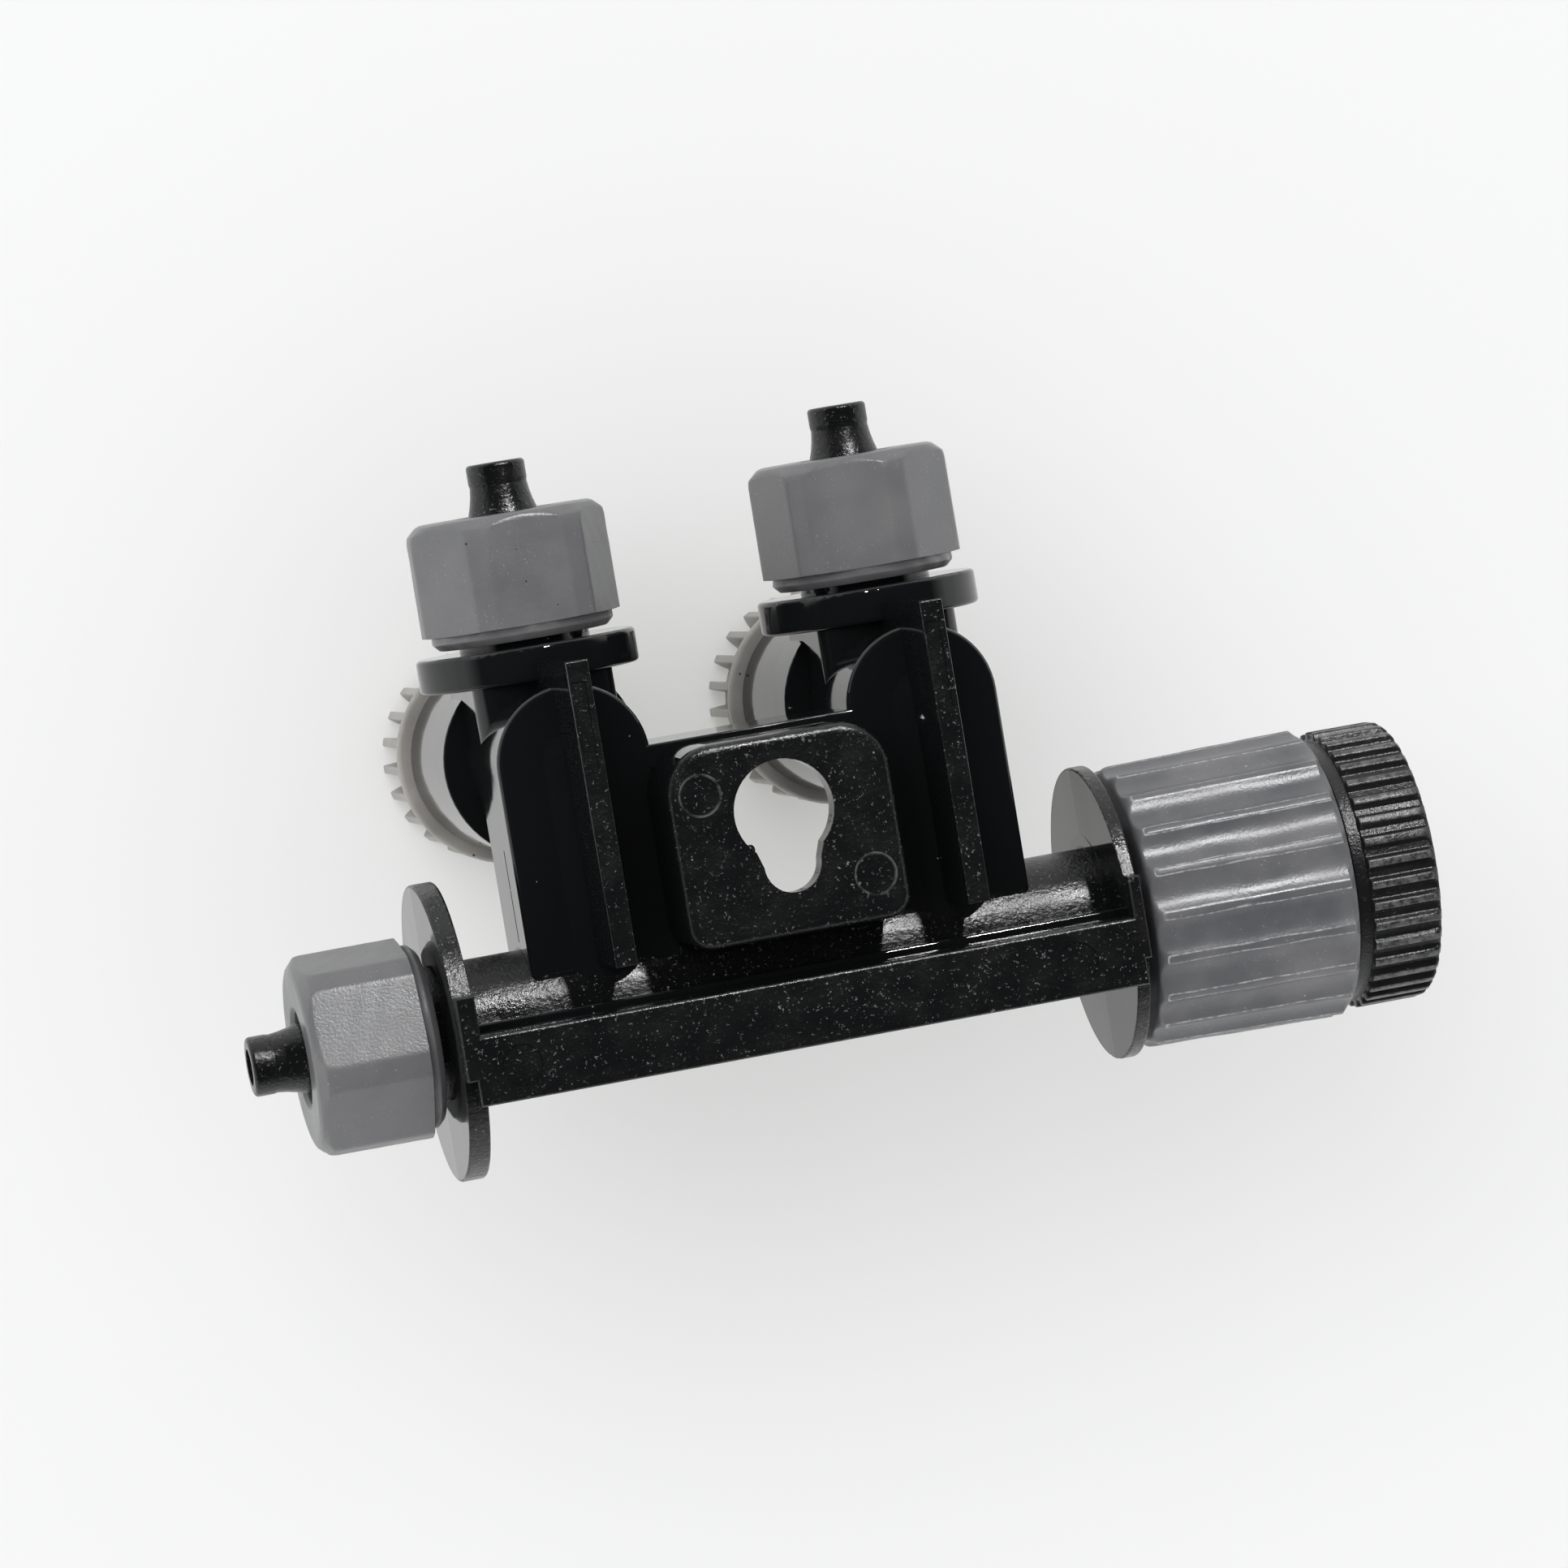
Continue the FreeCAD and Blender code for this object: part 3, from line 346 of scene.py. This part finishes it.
def plasticMaterial(name, ownLook):
    # moulded plastic: slow colour drift, fine grain, a few inclusions,
    # and where the look asks for them painted glints in the base colour and painted highlights on ridge edges
    look = {**plasticDefaults, **ownLook}
    material, tree, shader = newMaterial(name, {"IOR": 1.5, "Subsurface Weight": look["through"],
                                                "Subsurface Scale": 0.0012})
    shader.inputs["Subsurface Radius"].default_value = (1.0, 0.95, 0.88)
    where = addNode(tree, "ShaderNodeTexCoord")
    place = where.outputs["Object"]
    drift = noiseOf(tree, place, look["driftScale"], 3.0, 0.55)
    shade = mixColour(tree, rampOf(tree, drift, 0.32, 0.68, 0, 1), look["dark"], look["light"])
    pits = dustOf(tree, place, look["pitCells"], look["pitSize"])
    shade = mixColour(tree, pits, shade, look["pitColour"])
    grain = noiseOf(tree, place, look["grainScale"], 3.0, 0.6)
    # painted glints: light specks mixed into the base colour, standing in for the grain catching the key
    # light
    if "glint" in look:
        fineNoise = noiseOf(tree, place, look["grainScale"] * look["sparkScale"], 2.0, 0.7)
        spark = rampOf(tree, fineNoise, look["sparkFrom"], look["sparkTo"], 0, 1)
        cluster = rampOf(tree, noiseOf(tree, place, look["clusterScale"], 2.0, 0.6), 0.42, 0.62, 0.05, 1.0)
        shade = mixColour(tree, mathNode(tree, "MULTIPLY", spark, cluster), shade, look["glint"])
    if "crest" in look:
        split = addNode(tree, "ShaderNodeSeparateXYZ")
        tree.links.new(place, split.inputs[0])
        radius = fromAxis(tree, split.outputs[1], split.outputs[2], jointPlace["coupling_turn"][1:])
        # painted highlight on the two rounded edges of each ridge, a little below the ridge radius: lighter
        # base colour standing in for the edges catching the key light
        startX, startRadius, slope, edgeFrom, edgeTo = look["crest"]
        fromStart = mathNode(tree, "SUBTRACT", split.outputs[0], float(startX) * mm)
        run = mathNode(tree, "MULTIPLY", fromStart, slope)
        below = mathNode(tree, "SUBTRACT", mathNode(tree, "ADD", run, startRadius * mm), radius)
        wearAndPaintedHighlight = mathNode(tree, "MULTIPLY", rampOf(tree, below, edgeFrom * 0.5 * mm, edgeFrom * mm, 0, 1),
                        rampOf(tree, below, edgeTo * 0.65 * mm, edgeTo * mm, 1, 0))
        broken = rampOf(tree, noiseOf(tree, place, look["paintedHighlightBreaks"], 2.0, 0.7), 0.38, 0.62, 0.15, 1)
        shade = mixColour(tree, mathNode(tree, "MULTIPLY", wearAndPaintedHighlight, broken), shade, look["glint"])
    tree.links.new(shade, shader.inputs["Base Color"])
    slow = noiseOf(tree, place, look["slowScale"], 2.0, 0.5)
    fine = bumpOf(tree, grain, look["grainDepth"])
    uneven = bumpOf(tree, slow, look["slowDepth"], look["slowStrength"], fine)
    tree.links.new(uneven, shader.inputs["Normal"])
    tree.links.new(rampOf(tree, drift, 0.3, 0.7, look["roughness"] - 0.05, look["roughness"] + 0.06),
                   shader.inputs["Roughness"])
    return material


metalLook = {"stainScale": 700.0, "stainShade": 0.72, "ringScale": 5200.0, "ringUneven": 1.5,
             "ringDepth": 0.000006}


def metalMaterial(name, colour, roughness):
    # turned metal: fine rings along Z and slight stain
    material, tree, shader = newMaterial(name, {"Metallic": 1.0})
    where = addNode(tree, "ShaderNodeTexCoord")
    place = where.outputs["Object"]
    stain = noiseOf(tree, place, metalLook["stainScale"], 3.0, 0.6)
    dark = tuple(channel * metalLook["stainShade"] for channel in colour[:3]) + (1,)
    tree.links.new(mixColour(tree, stain, dark, colour), shader.inputs["Base Color"])
    ringValues = {"Scale": metalLook["ringScale"], "Distortion": metalLook["ringUneven"]}
    rings = addNode(tree, "ShaderNodeTexWave", ringValues, bands_direction="Z")
    tree.links.new(place, rings.inputs["Vector"])
    tree.links.new(bumpOf(tree, rings.outputs["Fac"], metalLook["ringDepth"]), shader.inputs["Normal"])
    wearAndPaintedHighlight = rampOf(tree, stain, 0.3, 0.7, roughness - 0.06, roughness + 0.1)
    tree.links.new(wearAndPaintedHighlight, shader.inputs["Roughness"])
    return material


plasticLooks = {
    "hoseNutGrey": {"dark": (0.136, 0.137, 0.142, 1), "light": (0.160, 0.160, 0.163, 1), "roughness": 0.32,
                    "grainScale": 5000.0, "grainDepth": 0.000022, "through": 0.1,
                    "glint": (0.42, 0.42, 0.42, 1)},
    "couplingGrey": {"dark": (0.098, 0.100, 0.107, 1), "light": (0.165, 0.165, 0.170, 1), "roughness": 0.34,
                     "grainScale": 4200.0, "grainDepth": 0.00002, "through": 0.2, "driftScale": 150.0,
                     "glint": (0.40, 0.40, 0.40, 1), "pitColour": (0.42, 0.40, 0.36, 1),
                     "pitCells": 360.0, "pitSize": 0.035},
    "knobGrey": {"dark": (0.26, 0.248, 0.228, 1), "light": (0.36, 0.345, 0.32, 1), "roughness": 0.4,
                 "grainScale": 5200.0, "grainDepth": 0.00003, "through": 0.25, "driftScale": 200.0},
    "plugBlack": {"dark": (0.0075, 0.0078, 0.0082, 1), "light": (0.0125, 0.0128, 0.0132, 1),
                  "roughness": 0.33, "grainScale": 3600.0, "grainDepth": 0.00005,
                  "glint": (0.12, 0.12, 0.12, 1), "pitColour": (0.1, 0.1, 0.1, 1)},
    "glandBlack": {"dark": (0.009, 0.009, 0.009, 1), "light": (0.015, 0.015, 0.015, 1), "roughness": 0.4,
                   "grainScale": 4000.0, "grainDepth": 0.00001},
    "needleWhite": {"dark": (0.62, 0.61, 0.57, 1), "light": (0.74, 0.73, 0.70, 1), "roughness": 0.35,
                    "grainScale": 3600.0, "grainDepth": 0.000006, "through": 0.15},
    "washerWhite": {"dark": (0.72, 0.72, 0.70, 1), "light": (0.82, 0.82, 0.80, 1), "roughness": 0.5,
                    "grainScale": 3000.0, "grainDepth": 0.000006},
    "sealRubber": {"dark": (0.010, 0.010, 0.010, 1), "light": (0.020, 0.020, 0.020, 1), "roughness": 0.6,
                   "grainScale": 5000.0, "grainDepth": 0.000008},
}

# Painted highlights on ridge edges: x of the start, ridge radius there, its rise per length,
# and the depth below the ridge where the painted highlight starts and ends, in mm
couplingLow, couplingHigh = nodeBox("coupling_nut")
couplingDraft = 0.3 / (couplingHigh[0] - couplingLow[0])
plasticLooks["couplingGrey"]["crest"] = (couplingLow[0], 10.6, couplingDraft, 0.035, 0.09)
plasticLooks["plugBlack"]["crest"] = (couplingHigh[0], 10.5, 0.0, 0.03, 0.11)
finishes = {name: plasticMaterial(name, look) for name, look in plasticLooks.items()}
finishes["turnedBrass"] = metalMaterial("turnedBrass", (0.66, 0.48, 0.20, 1), 0.28)
finishes["zincSteel"] = metalMaterial("zincSteel", (0.58, 0.58, 0.60, 1), 0.3)
finishes["polishedBlackBody"] = bodyMaterial()
print("materials ready")

frameFinish = {
    "manifold_body": "polishedBlackBody", "coupling_snap_ring": "zincSteel", "end_plug_seal": "sealRubber",
    "valve_gland": "glandBlack", "valve_needle": "needleWhite", "needle_seal": "sealRubber",
    "thrust_washer": "washerWhite", "valve_drive_screw": "turnedBrass", "knob_fixing_screw": "zincSteel",
}
for nodeName, nodeObject in nodes.items():
    finish = frameFinish.get(nodeName, frameFinish.get(nodeName.rstrip("_12")))
    if finish:
        nodeObject.data.materials.clear()
        nodeObject.data.materials.append(finishes[finish])
print("frame nodes finished")

# Hose nuts
hoseNut = {
    "skirtStart": 0.45, "skirtHeight": 1.0, "skirtRadius": 6.78, "length": 9.45,
    "flatHalf": 6.85, "cornerFlatHalf": 7.46, "endRound": 1.25, "mouth": 3.8, "hole": 3.55, "bore": 4.98,
    "skirtDepth": 0.5, "step": 0.06, "envelopeRoom": 0.09, "holeDepth": 1.5, "boreDepth": 3.7, "taper": 0.05,
    "edgeSoftness": 0.055, "flash": 0.05, "unevenness": 0.006, "columns": 720, "longestStep": 0.42,
}
nutOwner = {
    "inlet_nut_moulding": {"body": "inlet_nut", "node": "inlet_hose_nut"},
    "outlet_nut_1_moulding": {"body": "outlet_nut_1", "node": "outlet_hose_nut_1"},
    "outlet_nut_2_moulding": {"body": "outlet_nut_2", "node": "outlet_hose_nut_2"},
}
# turn of the flat nearest the wall side, in degrees
nutTurn = {"inlet": 18.7, "outlet_1": 2.0, "outlet_2": -14.0}


def hoseNutPiece(name, origin, along, flatNormal, seed):
    # radius = soft minimum of six broad flats, six narrow corner flats and a turned envelope
    look = hoseNut
    low = look["skirtStart"]
    top = low + look["length"]
    shoulder = low + look["skirtHeight"]
    envelope = look["cornerFlatHalf"] + look["envelopeRoom"]
    skirt, bore = look["skirtRadius"], look["bore"]
    corners = [
        (bore, low, 0.12), (skirt - look["skirtDepth"], low, 0.15), (skirt, low + look["skirtDepth"], 0.2),
        (skirt, shoulder, 0.0), (skirt + look["step"], shoulder + look["step"] / 2, 0.0),
        (envelope, shoulder + 0.1, 0.05), (envelope, top - look["endRound"], 0.0),
        (envelope - 0.16, top - look["endRound"] * 0.62, 0.5), (envelope - 0.88, top - 0.12, 0.45),
        (envelope - 1.25, top, 0.3), (look["mouth"], top, 0.1),
        (look["hole"], top - 0.3, 0.1), (look["hole"], top - look["holeDepth"], 0.2),
        (bore, top - look["boreDepth"], 0.2),
    ]
    path = divided(roundedPath(corners, 4), look["longestStep"])
    angles = np.linspace(0, 2 * math.pi, look["columns"], endpoint=False)
    sixth = math.pi / 3
    broad = look["flatHalf"] / np.cos((angles + sixth / 2) % sixth - sixth / 2)
    narrow = look["cornerFlatHalf"] / np.cos(angles % sixth - sixth / 2)
    hexagon = softMin(broad, narrow, look["edgeSoftness"])
    outside = 5.2
    outer = (path[:, 0] > skirt - 0.02) | ((path[:, 1] > shoulder + 0.05) & (path[:, 0] > outside))
    outer &= path[:, 1] > shoulder - 0.001
    radius = np.repeat(path[:, :1], len(angles), axis=1)
    taper = look["taper"] * (1 - (path[:, 1] - shoulder) / look["length"])[:, None]
    cut = softMin(hexagon[None, :] + taper, radius, look["edgeSoftness"] * 0.8)
    radius = np.where(outer[:, None], cut, radius)
    onSkirt = ((path[:, 1] <= shoulder) & (path[:, 0] > skirt - 0.6))[:, None]
    radius = radius + np.where(onSkirt, waviness(angles, path[:, 1], seed, look["flash"]), 0)
    radius = radius + np.where(outer[:, None], waviness(angles, path[:, 1], seed + 1, look["unevenness"]), 0)
    grid = sweepGrid(radius, path[:, 1], angles, origin, along, flatNormal)
    return gridPiece(name, grid, **nutOwner[name], closeRows=True)


def turnedFrom(first, second, degrees):
    # direction = first * cos(turn) + second * sin(turn)
    turn = math.radians(degrees)
    return np.array(first) * math.cos(turn) + np.array(second) * math.sin(turn)


inletPlace = jointPlace["inlet_nut_turn"].copy()
inletPlace[0] = nodeBox("inlet_hose_nut")[1][0] + hoseNut["skirtStart"]
mouldings = [hoseNutPiece("inlet_nut_moulding", inletPlace, (-1, 0, 0),
                          turnedFrom((0, 0, 1), (0, 1, 0), nutTurn["inlet"]), 11)]
for number in ("1", "2"):
    place = jointPlace["outlet_nut_turn_" + number].copy()
    place[1] = nodeBox("outlet_hose_nut_" + number)[0][1] - hoseNut["skirtStart"]
    flatNormal = turnedFrom((0, 0, 1), (1, 0, 0), nutTurn["outlet_" + number])
    mouldings.append(hoseNutPiece("outlet_nut_" + number + "_moulding", place, (0, 1, 0), flatNormal,
                                  20 + int(number)))
for piece in mouldings:
    piece.data.materials.append(finishes["hoseNutGrey"])
print("hose nuts ready")

# Valve knobs
valveKnob = {
    "rimRadius": 8.4, "rimHeight": 1.2, "rimUnevenness": 0.02,
    "tipRadius": 8.35, "rootRadius": 6.85, "teeth": 24,
    "toothHalf": 0.3, "toothSlope": 0.2, "toothSoftness": 0.05,
    "hub": 3.6, "bore": 2.03, "wall": 0.95, "floor": 1.7, "recess": 2.3, "hole": 1.1,
    "webBack": 3.0, "webFront": 4.55, "columns": 768, "longestStep": 0.8,
}


def knobPiece(name, number):
    # radius on the grip = root + (tip - root) * smooth tooth wave round the axis
    look = valveKnob
    low, high = nodeBox("valve_knob_" + number)
    front, back = high[2], low[2]
    rimBack = front - look["rimHeight"]
    inner = look["rootRadius"] - look["wall"]
    rim, tip, hub, hole = look["rimRadius"], look["tipRadius"], look["hub"], look["hole"]
    floor, webBack, webFront = back + look["floor"], back + look["webBack"], back + look["webFront"]
    corners = [
        (look["bore"], front, 0.1), (hub, front, 0.15), (hub, floor, 0.3), (inner, floor, 0.4),
        (inner, front, 0.15), (rim, front, 0.3), (rim, rimBack, 0.22), (tip - 0.22, rimBack - 0.12, 0.05),
        (tip, rimBack - 0.5, 0.2), (tip - 0.03, back + 0.55, 0.3), (tip - 0.5, back, 0.35),
        (look["recess"], back, 0.2), (look["recess"], webBack, 0.1), (hole, webBack, 0.05),
        (hole, webFront, 0.0), (look["bore"], webFront, 0.05),
    ]
    path = divided(roundedPath(corners, 4), look["longestStep"])
    angles = np.linspace(0, 2 * math.pi, look["columns"], endpoint=False)
    pitch = 2 * math.pi / look["teeth"]
    arc = np.abs((angles + pitch / 2) % pitch - pitch / 2) * look["tipRadius"]
    tooth = flatRidge(arc, look["toothHalf"], look["toothSlope"])
    grip = look["rootRadius"] + (look["tipRadius"] - look["rootRadius"]) * tooth
    onGrip = (path[:, 1] < rimBack - 0.05) & (path[:, 0] > look["rootRadius"] - 0.3)
    radius = np.repeat(path[:, :1], len(angles), axis=1)
    radius = np.where(onGrip[:, None], softMin(radius, grip[None, :], look["toothSoftness"]), radius)
    onRim = ((path[:, 1] >= rimBack - 0.05) & (path[:, 0] > 7.0))[:, None]
    uneven = waviness(angles, path[:, 1], 40 + int(number), look["rimUnevenness"])
    radius = radius + np.where(onRim, uneven, 0)
    origin = jointPlace["knob_turn_" + number].copy()
    origin[2] = 0
    grid = sweepGrid(radius, path[:, 1], angles, origin, (0, 0, 1), (1, 0, 0))
    return gridPiece(name, grid, "knob_" + number, "valve_knob_" + number, True)


for number in ("1", "2"):
    piece = knobPiece("valve_knob_" + number + "_moulding", number)
    piece.data.materials.append(finishes["knobGrey"])
print("knobs ready")

# Coupling nut
couplingNut = {
    "startRadius": 10.6, "endRadius": 10.9, "startRound": 0.9, "lip": 0.55, "lipLength": 0.5, "bore": 6.05,
    "thread": 8.5, "endWall": 1.9, "flutes": 20, "fluteDepth": 0.5, "fluteRadius": 2.6, "turn": 16.5,
    "edgeSoftness": 0.05, "unevenness": 0.016, "columns": 1000, "longestStep": 0.8,
}


def couplingPiece():
    # radius = soft minimum of a drafted envelope and concave flutes, each an arc of a circle outside
    # the nut: reach * cos(away) - square root of (fluteRadius squared - (reach * sin(away)) squared)
    look = couplingNut
    low, high = nodeBox("coupling_nut")
    length = high[0] - low[0]
    start, end = look["startRadius"], look["endRadius"]
    bore, thread = look["bore"], look["thread"]
    corners = [
        (bore, 0, 0.1), (start, 0, look["startRound"]), (end, length - look["lipLength"], 0.1),
        (end - look["lip"], length, 0.12), (thread, length, 0.25), (thread, look["endWall"], 0.2),
        (bore, look["endWall"], 0.1),
    ]
    path = divided(roundedPath(corners, 6), look["longestStep"])
    angles = np.linspace(0, 2 * math.pi, look["columns"], endpoint=False)
    pitch = 2 * math.pi / look["flutes"]
    away = (angles + math.radians(look["turn"])) % pitch - pitch / 2
    draft = (end - start) * (1 - path[:, 1] / length)[:, None]
    reach = end - look["fluteDepth"] + look["fluteRadius"] - draft
    inside = np.maximum(look["fluteRadius"] ** 2 - (reach * np.sin(away)[None, :]) ** 2, 0)
    flute = np.where(inside > 0, reach * np.cos(away)[None, :] - np.sqrt(inside), reach)
    onOuter = path[:, 0] > thread + 0.8
    radius = np.repeat(path[:, :1], len(angles), axis=1)
    radius = np.where(onOuter[:, None], softMin(radius, flute, look["edgeSoftness"]), radius)
    uneven = waviness(angles, path[:, 1] * 0.4, 5, look["unevenness"])
    radius = radius + np.where(onOuter[:, None], uneven, 0)
    origin = jointPlace["coupling_turn"].copy()
    origin[0] = low[0]
    grid = sweepGrid(radius, path[:, 1], angles, origin, (1, 0, 0), (0, 1, 0))
    return gridPiece("coupling_nut_moulding", grid, "coupling", "coupling_nut", True)


piece = couplingPiece()
piece.data.materials.append(finishes["couplingGrey"])
print("coupling nut ready")

# End plug
endPlug = {
    "pin": 3.1, "groove": 2.1, "grooveWidth": 1.3, "sealAt": 1.6, "coreLength": 9.0, "core": 6.5,
    "thread": 8.42, "threadLength": 6.6, "threadDepth": 0.5, "threadPitch": 1.5, "threadSlope": 0.3,
    "band": 9.75, "bandWidth": 1.0, "crest": 10.5, "root": 9.98, "ribs": 40, "ribHalf": 0.2, "ribSlope": 0.36,
    "ribSoftness": 0.04, "endRound": 0.75, "recess": 7.6, "recessDepth": 3.4,
    "columns": 680, "longestStep": 1.5, "threadStep": 0.3,
}


def plugPiece():
    # radius on the head = root + (crest - root) * flat ridge; on the thread less a V valley that
    # moves one pitch along for each turn round
    look = endPlug
    low, high = nodeBox("end_plug")
    length = high[0] - low[0]
    headStart = nodeBox("coupling_nut")[1][0] - low[0] + 0.2
    threadStart = headStart - look["threadLength"]
    bandEnd = headStart + look["bandWidth"]
    half = look["grooveWidth"] / 2
    grooveFrom, grooveTo = look["sealAt"] - half, look["sealAt"] + half
    pin, groove, core, coreEnd = look["pin"], look["groove"], look["core"], look["coreLength"]
    thread, band, crest, recess = look["thread"], look["band"], look["crest"], look["recess"]
    recessFloor = length - look["recessDepth"]
    pole = 0.001   # each end of the profile stops this far from the axis
    corners = [
        (pole, 0, 0), (pin, 0, 0.35), (pin, grooveFrom, 0.05), (groove, grooveFrom, 0.1),
        (groove, grooveTo, 0.1), (pin, grooveTo, 0.05), (pin, coreEnd, 0.3), (core, coreEnd, 0.3),
        (core, threadStart, 0.15), (thread, threadStart, 0.45), (thread, headStart, 0.1),
        (band, headStart, 0.12), (band, bandEnd, 0.05), (crest, bandEnd + 0.03, 0.12),
        (crest, length, look["endRound"]), (recess, length, 0.25), (recess - 0.3, recessFloor, 0.5),
        (pole, recessFloor, 0),
    ]
    path = roundedPath(corners, 3)
    steps = divided(path, look["longestStep"], (threadStart, headStart, look["threadStep"]))
    steps = np.concatenate([steps[:-1], path[-1:]])
    keep = np.ones(len(steps), bool)
    last = np.argmax((steps[:, 0] < 0.01) & (steps[:, 1] > 1))
    keep[last + 1:] = False
    path = steps[keep]
    angles = np.linspace(0, 2 * math.pi, look["columns"], endpoint=False)
    pitch = 2 * math.pi / look["ribs"]
    arc = np.abs(angles % pitch - pitch / 2) * crest
    rib = flatRidge(arc, look["ribHalf"], look["ribSlope"])
    knurl = look["root"] + (crest - look["root"]) * rib
    radius = np.repeat(path[:, :1], len(angles), axis=1)
    onHead = (path[:, 1] > bandEnd - 0.01) & (path[:, 0] > band - 0.1)
    radius = np.where(onHead[:, None], softMin(radius, knurl[None, :], look["ribSoftness"]), radius)
    inThread = (path[:, 1] > threadStart + 0.5) & (path[:, 1] < headStart - 0.4)
    onThread = (path[:, 0] > thread - 0.1) & inThread
    phase = (path[:, 1][:, None] / look["threadPitch"] - angles[None, :] / (2 * math.pi)) % 1.0
    valley = np.clip(1 - np.abs(phase - 0.5) / look["threadSlope"], 0, 1)
    radius = radius - np.where(onThread[:, None], valley * look["threadDepth"], 0)
    origin = jointPlace["plug_turn"].copy()
    origin[0] = low[0]
    grid = sweepGrid(radius, path[:, 1], angles, origin, (1, 0, 0), (0, 1, 0))
    return gridPiece("end_plug_moulding", grid, "plug", "end_plug", False)


piece = plugPiece()
piece.data.materials.append(finishes["plugBlack"])
print("end plug ready")

# Moulding flash at the keyhole
keyholeFlash = {
    "sideways": -2.9, "down": 8.05, "sink": 0.35, "size": (0.34, 0.42, 0.33), "lump": 0.16,
    "rows": 20, "columns": 28,
}


def flashPiece():
    # point = centre + size * direction * (1 + slow lumps), over a grid of latitude and longitude
    look = keyholeFlash
    centre = np.array([betweenValves[0] + look["sideways"], betweenValves[1] - look["down"],
                       nodeBox("manifold_body")[1][2] - look["sink"]])
    lat = np.linspace(-math.pi / 2, math.pi / 2, look["rows"])
    angles = np.linspace(0, 2 * math.pi, look["columns"], endpoint=False)
    lump = 1 + look["lump"] * np.cos(2 * angles[None, :] + 3 * lat[:, None]) * np.cos(lat)[:, None]
    flat = np.cos(lat)[:, None] * lump
    rise = np.sin(lat)[:, None] * np.ones_like(flat)
    grid = np.stack([flat * np.cos(angles), flat * np.sin(angles), rise], -1)
    return gridPiece("keyhole_flash", centre + grid * np.array(look["size"]), "manifold", None, False)


piece = flashPiece()
piece.data.materials.append(finishes["polishedBlackBody"])
print("flash ready")

# Floor, light and camera
studio = {
    "floorHalf": 3.0, "floorColour": (0.60, 0.602, 0.612, 1), "floorGlow": (0.285, 0.286, 0.268, 1),
    "aim": (0, 0, 0.03), "skyColour": (0.985, 0.99, 1.0, 1),
    "ambient": 0.86, "skyStrength": 0.9, "skyDark": 0.006, "skyEdge": (0.20, 0.50),
    "keyDirection": (0.23, 0.64, 0.73), "keyDistance": 0.62, "keySize": 0.035, "keyPower": 3.0,
    "washDirection": (-0.4, 0.4, 0.82), "washDistance": 2.4, "washSize": 2.0, "washPower": 22.0,
}


def floorPiece():
    # a flat square far wider than the object
    half = studio["floorHalf"]
    mesh = bpy.data.meshes.new("floor")
    square = [(-half, -half, 0), (half, -half, 0), (half, half, 0), (-half, half, 0)]
    mesh.from_pydata(square, [], [(0, 1, 2, 3)])
    floor = bpy.data.objects.new("floor", mesh)
    bpy.context.scene.collection.objects.link(floor)
    material, tree, shader = newMaterial("paleFloor", {"Roughness": 0.85, "Specular IOR Level": 0.15})
    shader.inputs["Base Color"].default_value = studio["floorColour"]
    shader.inputs["Emission Color"].default_value = studio["floorGlow"]
    shader.inputs["Emission Strength"].default_value = 1.0
    mesh.materials.append(material)


def softLight(name, direction, distance, size, power, inReflections):
    # a round lamp that shows either in reflections only or on matt surfaces only
    lamp = bpy.data.lights.new(name, "AREA")
    lamp.shape = "DISK"
    lamp.size = size
    lamp.energy = power
    holder = bpy.data.objects.new(name, lamp)
    toLight = Vector(direction).normalized()
    holder.location = Vector(studio["aim"]) + toLight * distance
    holder.rotation_euler = toLight.to_track_quat("Z", "Y").to_euler()
    holder.visible_glossy = inReflections
    holder.visible_diffuse = not inReflections
    bpy.context.scene.collection.objects.link(holder)


def sky():
    # even light for matt surfaces; in reflections, bright all round and dark overhead, as in a tent
    # with an opening above
    world = bpy.data.worlds.new("studioSky")
    bpy.context.scene.world = world
    world.use_nodes = True
    tree = world.node_tree
    back = tree.nodes["Background"]
    where = addNode(tree, "ShaderNodeTexCoord")
    split = addNode(tree, "ShaderNodeSeparateXYZ")
    tree.links.new(where.outputs["Generated"], split.inputs[0])
    level = rampOf(tree, split.outputs[2], *studio["skyEdge"], studio["skyStrength"], studio["skyDark"])
    path = addNode(tree, "ShaderNodeLightPath")
    blend = addNode(tree, "ShaderNodeMix", {2: studio["ambient"]}, data_type="FLOAT")
    tree.links.new(path.outputs["Is Glossy Ray"], blend.inputs[0])
    tree.links.new(level, blend.inputs[3])
    tree.links.new(blend.outputs[0], back.inputs["Strength"])
    back.inputs["Color"].default_value = studio["skyColour"]


view = {"place": (-100.01, 27.752, 527.953), "turn": (-1.38212, -11.70668, -9.57656), "lens": 156.592}
camera = bpy.data.cameras.new("camera")
camera.lens = view["lens"]
camera.sensor_width = 36
camera.clip_start = 0.01
camera.clip_end = 20
cameraObject = bpy.data.objects.new("camera", camera)
cameraObject.location = Vector(view["place"]) * mm
cameraObject.rotation_euler = [math.radians(turn) for turn in view["turn"]]
bpy.context.scene.collection.objects.link(cameraObject)
bpy.context.scene.camera = cameraObject
bpy.context.scene.view_settings.view_transform = "Standard"
floorPiece()
sky()
for lampName, seen in (("key", True), ("wash", False)):
    softLight(lampName + "Light", studio[lampName + "Direction"], studio[lampName + "Distance"],
              studio[lampName + "Size"], studio[lampName + "Power"], seen)
print("studio ready")
